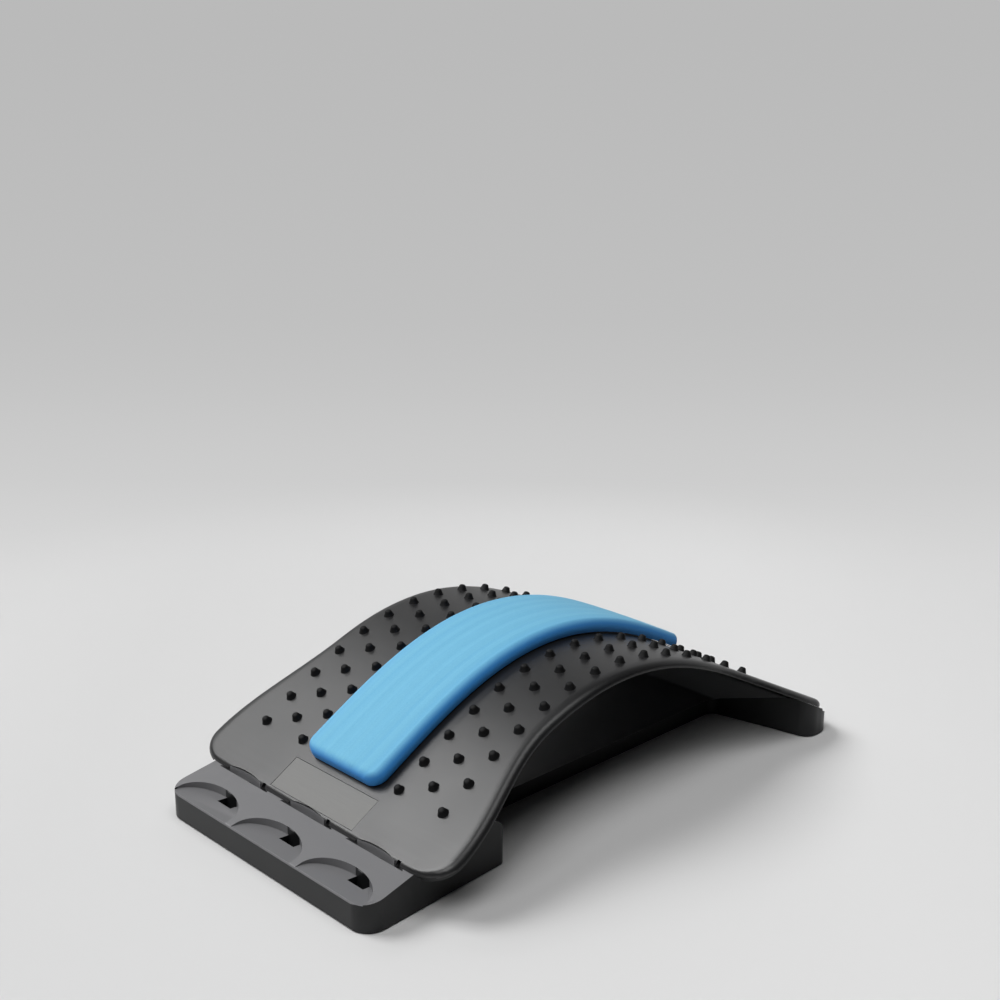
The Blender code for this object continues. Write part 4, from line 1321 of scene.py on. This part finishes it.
def pad_section(s, width, height):
    """Half-soft bar: up one side, over the crowned top with its channels, and down the other."""
    steps = CHANNEL_STEPS * PAD_CHANNELS
    roll = min(PAD_ROUNDING, height - PAD_CROWN - PAD_FOOT)
    flat = width - roll
    shoulder = height - PAD_CROWN - roll
    turns = [math.pi / 2 * k / ROUND_STEPS for k in range(ROUND_STEPS)]
    foot = width - PAD_DRAW
    right = [(s, -foot, 0.0), (s, -foot - PAD_DRAW * SIDE_BULGE, shoulder / 2)]
    right += [(s, -flat - roll * math.cos(t), shoulder + roll * math.sin(t)) for t in turns]
    top = []
    for k in range(steps + 1):
        across = -1 + 2 * k / steps
        crown = PAD_CROWN * (1 - across * across)
        channel = PAD_CHANNEL_DEPTH * (1 + math.cos(2 * math.pi * PAD_CHANNELS * k / steps)) / 2
        top.append((s, flat * across, shoulder + roll + crown - channel))
    left = [(s, -y, z) for s, y, z in reversed(right)]
    under = [(s, foot * (1 - 2 * k / ROUND_STEPS), 0.0) for k in range(1, ROUND_STEPS)]
    return right + top + left + under


def pad_sections():
    """Sections along the strip; towards the ends they narrow round the corners and their top rolls down."""
    corner = arc_stations(PAD_CORNER, 2 * ROUND_STEPS)
    straight = PAD_LENGTH - 2 * PAD_CORNER
    middle = [PAD_CORNER + straight * k / PAD_STATIONS for k in range(PAD_STATIONS + 1)]
    sections = []
    for s in corner + middle + [PAD_LENGTH - s for s in reversed(corner)]:
        from_end = min(s, PAD_LENGTH - s)
        width = PAD_HALF_WIDTH - corner_drop(PAD_CORNER, from_end)
        height = PAD_THICKNESS - corner_drop(PAD_END_ROLL, from_end)
        section = pad_section(PAD_START + s, width, height)
        sections.append([(x, y, PAD_BASE + h) for x, y, h in section])
    return sections


def spine_pad():
    """The strip on the arch; its attribute "rise" tells the material how high a point lies in the foam."""
    bm = bmesh.new()
    skin_over(bm, pad_sections())
    pad = from_bmesh("foam_spine_pad", bm)
    rise = pad.data.attributes.new("rise", "FLOAT", "POINT")
    for i, v in enumerate(pad.data.vertices):
        rise.data[i].value = (v.co.z - PAD_BASE) / PAD_THICKNESS
    lay_on_arch(pad)
    shade(pad, sharp=60)
    pad.data.materials.append(blue_foam())
    return pad


pad = spine_pad()
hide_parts("spine_pad")
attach(pad, "arch")
print("pad faces:", len(pad.data.polygons))

# %% [markdown]
# ## Small parts
# The adhesive film, the rubber feet and the bare foil panel are simple parts whose modelled shape is already
# right, so they only get a true surface. Each blends two close colours through a noise of the right size,
# because a single flat colour would look painted on.

# %% Film, feet and panel finishes
FILM_HEX = ("232425", "2E3031")
FILM_CLOUD_MM = 6.0
RUBBER_HEX = ("151516", "222223")
# The rubber's tooth and the foil's brushing are finer in truth, and drawn as coarse as they need to show.
TOOTH_MM = 0.5
TOOTH_DEPTH = 0.0001
TOOTH_STRENGTH = 0.4
FOIL_HEX = ("5C5C5A", "646462")
BRUSH_MM = 0.7
BRUSH_LONG_MM = 30.0


def clear_film():
    """Clear polyester film: it shows the dark plastic that it lies on."""
    mat, tree, shader = plain_material("adhesive_film_polyester", roughness=0.35, ior=1.6)
    place = add_node(tree, "ShaderNodeTexCoord").outputs["Object"]
    cloud = add_node(tree, "ShaderNodeTexNoise", {"Vector": place, "Scale": per_metre(FILM_CLOUD_MM)})
    tint = add_node(tree, "ShaderNodeMix", {
        "Factor": cloud.outputs["Fac"], MIX_A: srgb(FILM_HEX[0]),
        MIX_B: srgb(FILM_HEX[1])}, data_type="RGBA")
    tree.links.new(tint.outputs[MIX_COLOUR], shader.inputs["Base Color"])
    return mat


def moulded_rubber():
    """Soft black rubber with a fine matt tooth."""
    mat, tree, shader = plain_material("black_rubber_moulded", roughness=0.8, ior=1.52)
    place = add_node(tree, "ShaderNodeTexCoord").outputs["Object"]
    tooth = add_node(tree, "ShaderNodeTexNoise", {
        "Vector": place, "Scale": per_metre(TOOTH_MM), "Detail": 3.0})
    tint = add_node(tree, "ShaderNodeMix", {
        "Factor": tooth.outputs["Fac"], MIX_A: srgb(RUBBER_HEX[0]),
        MIX_B: srgb(RUBBER_HEX[1])}, data_type="RGBA")
    bump = add_node(tree, "ShaderNodeBump", {
        "Height": tooth.outputs["Fac"], "Strength": TOOTH_STRENGTH, "Distance": TOOTH_DEPTH})
    tree.links.new(tint.outputs[MIX_COLOUR], shader.inputs["Base Color"])
    tree.links.new(bump.outputs["Normal"], shader.inputs["Normal"])
    return mat


def panel_foil():
    """Bare satin foil, a shade lighter than the plate."""
    mat, tree, shader = plain_material("grey_foil_satin", roughness=0.45, ior=1.5)
    place = add_node(tree, "ShaderNodeTexCoord").outputs["Object"]
    stretch = (per_metre(BRUSH_MM), per_metre(BRUSH_LONG_MM), 1.0)
    brushed = add_node(tree, "ShaderNodeVectorMath", {0: place, 1: stretch}, operation="MULTIPLY")
    lines = add_node(tree, "ShaderNodeTexNoise", {"Vector": brushed.outputs["Vector"], "Scale": 1.0})
    tint = add_node(tree, "ShaderNodeMix", {
        "Factor": lines.outputs["Fac"], MIX_A: srgb(FOIL_HEX[0]),
        MIX_B: srgb(FOIL_HEX[1])}, data_type="RGBA")
    tree.links.new(tint.outputs[MIX_COLOUR], shader.inputs["Base Color"])
    return mat


def repaint(node, mat):
    """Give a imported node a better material."""
    slots = frame["nodes"][node].data.materials
    slots.clear()
    slots.append(mat)


repaint("pad_film", clear_film())
repaint("name_panel", panel_foil())
RUBBER = moulded_rubber()
for node in FOOT_NAMES:
    repaint(node, RUBBER)
print("repainted nodes:", 2 + len(FOOT_NAMES))
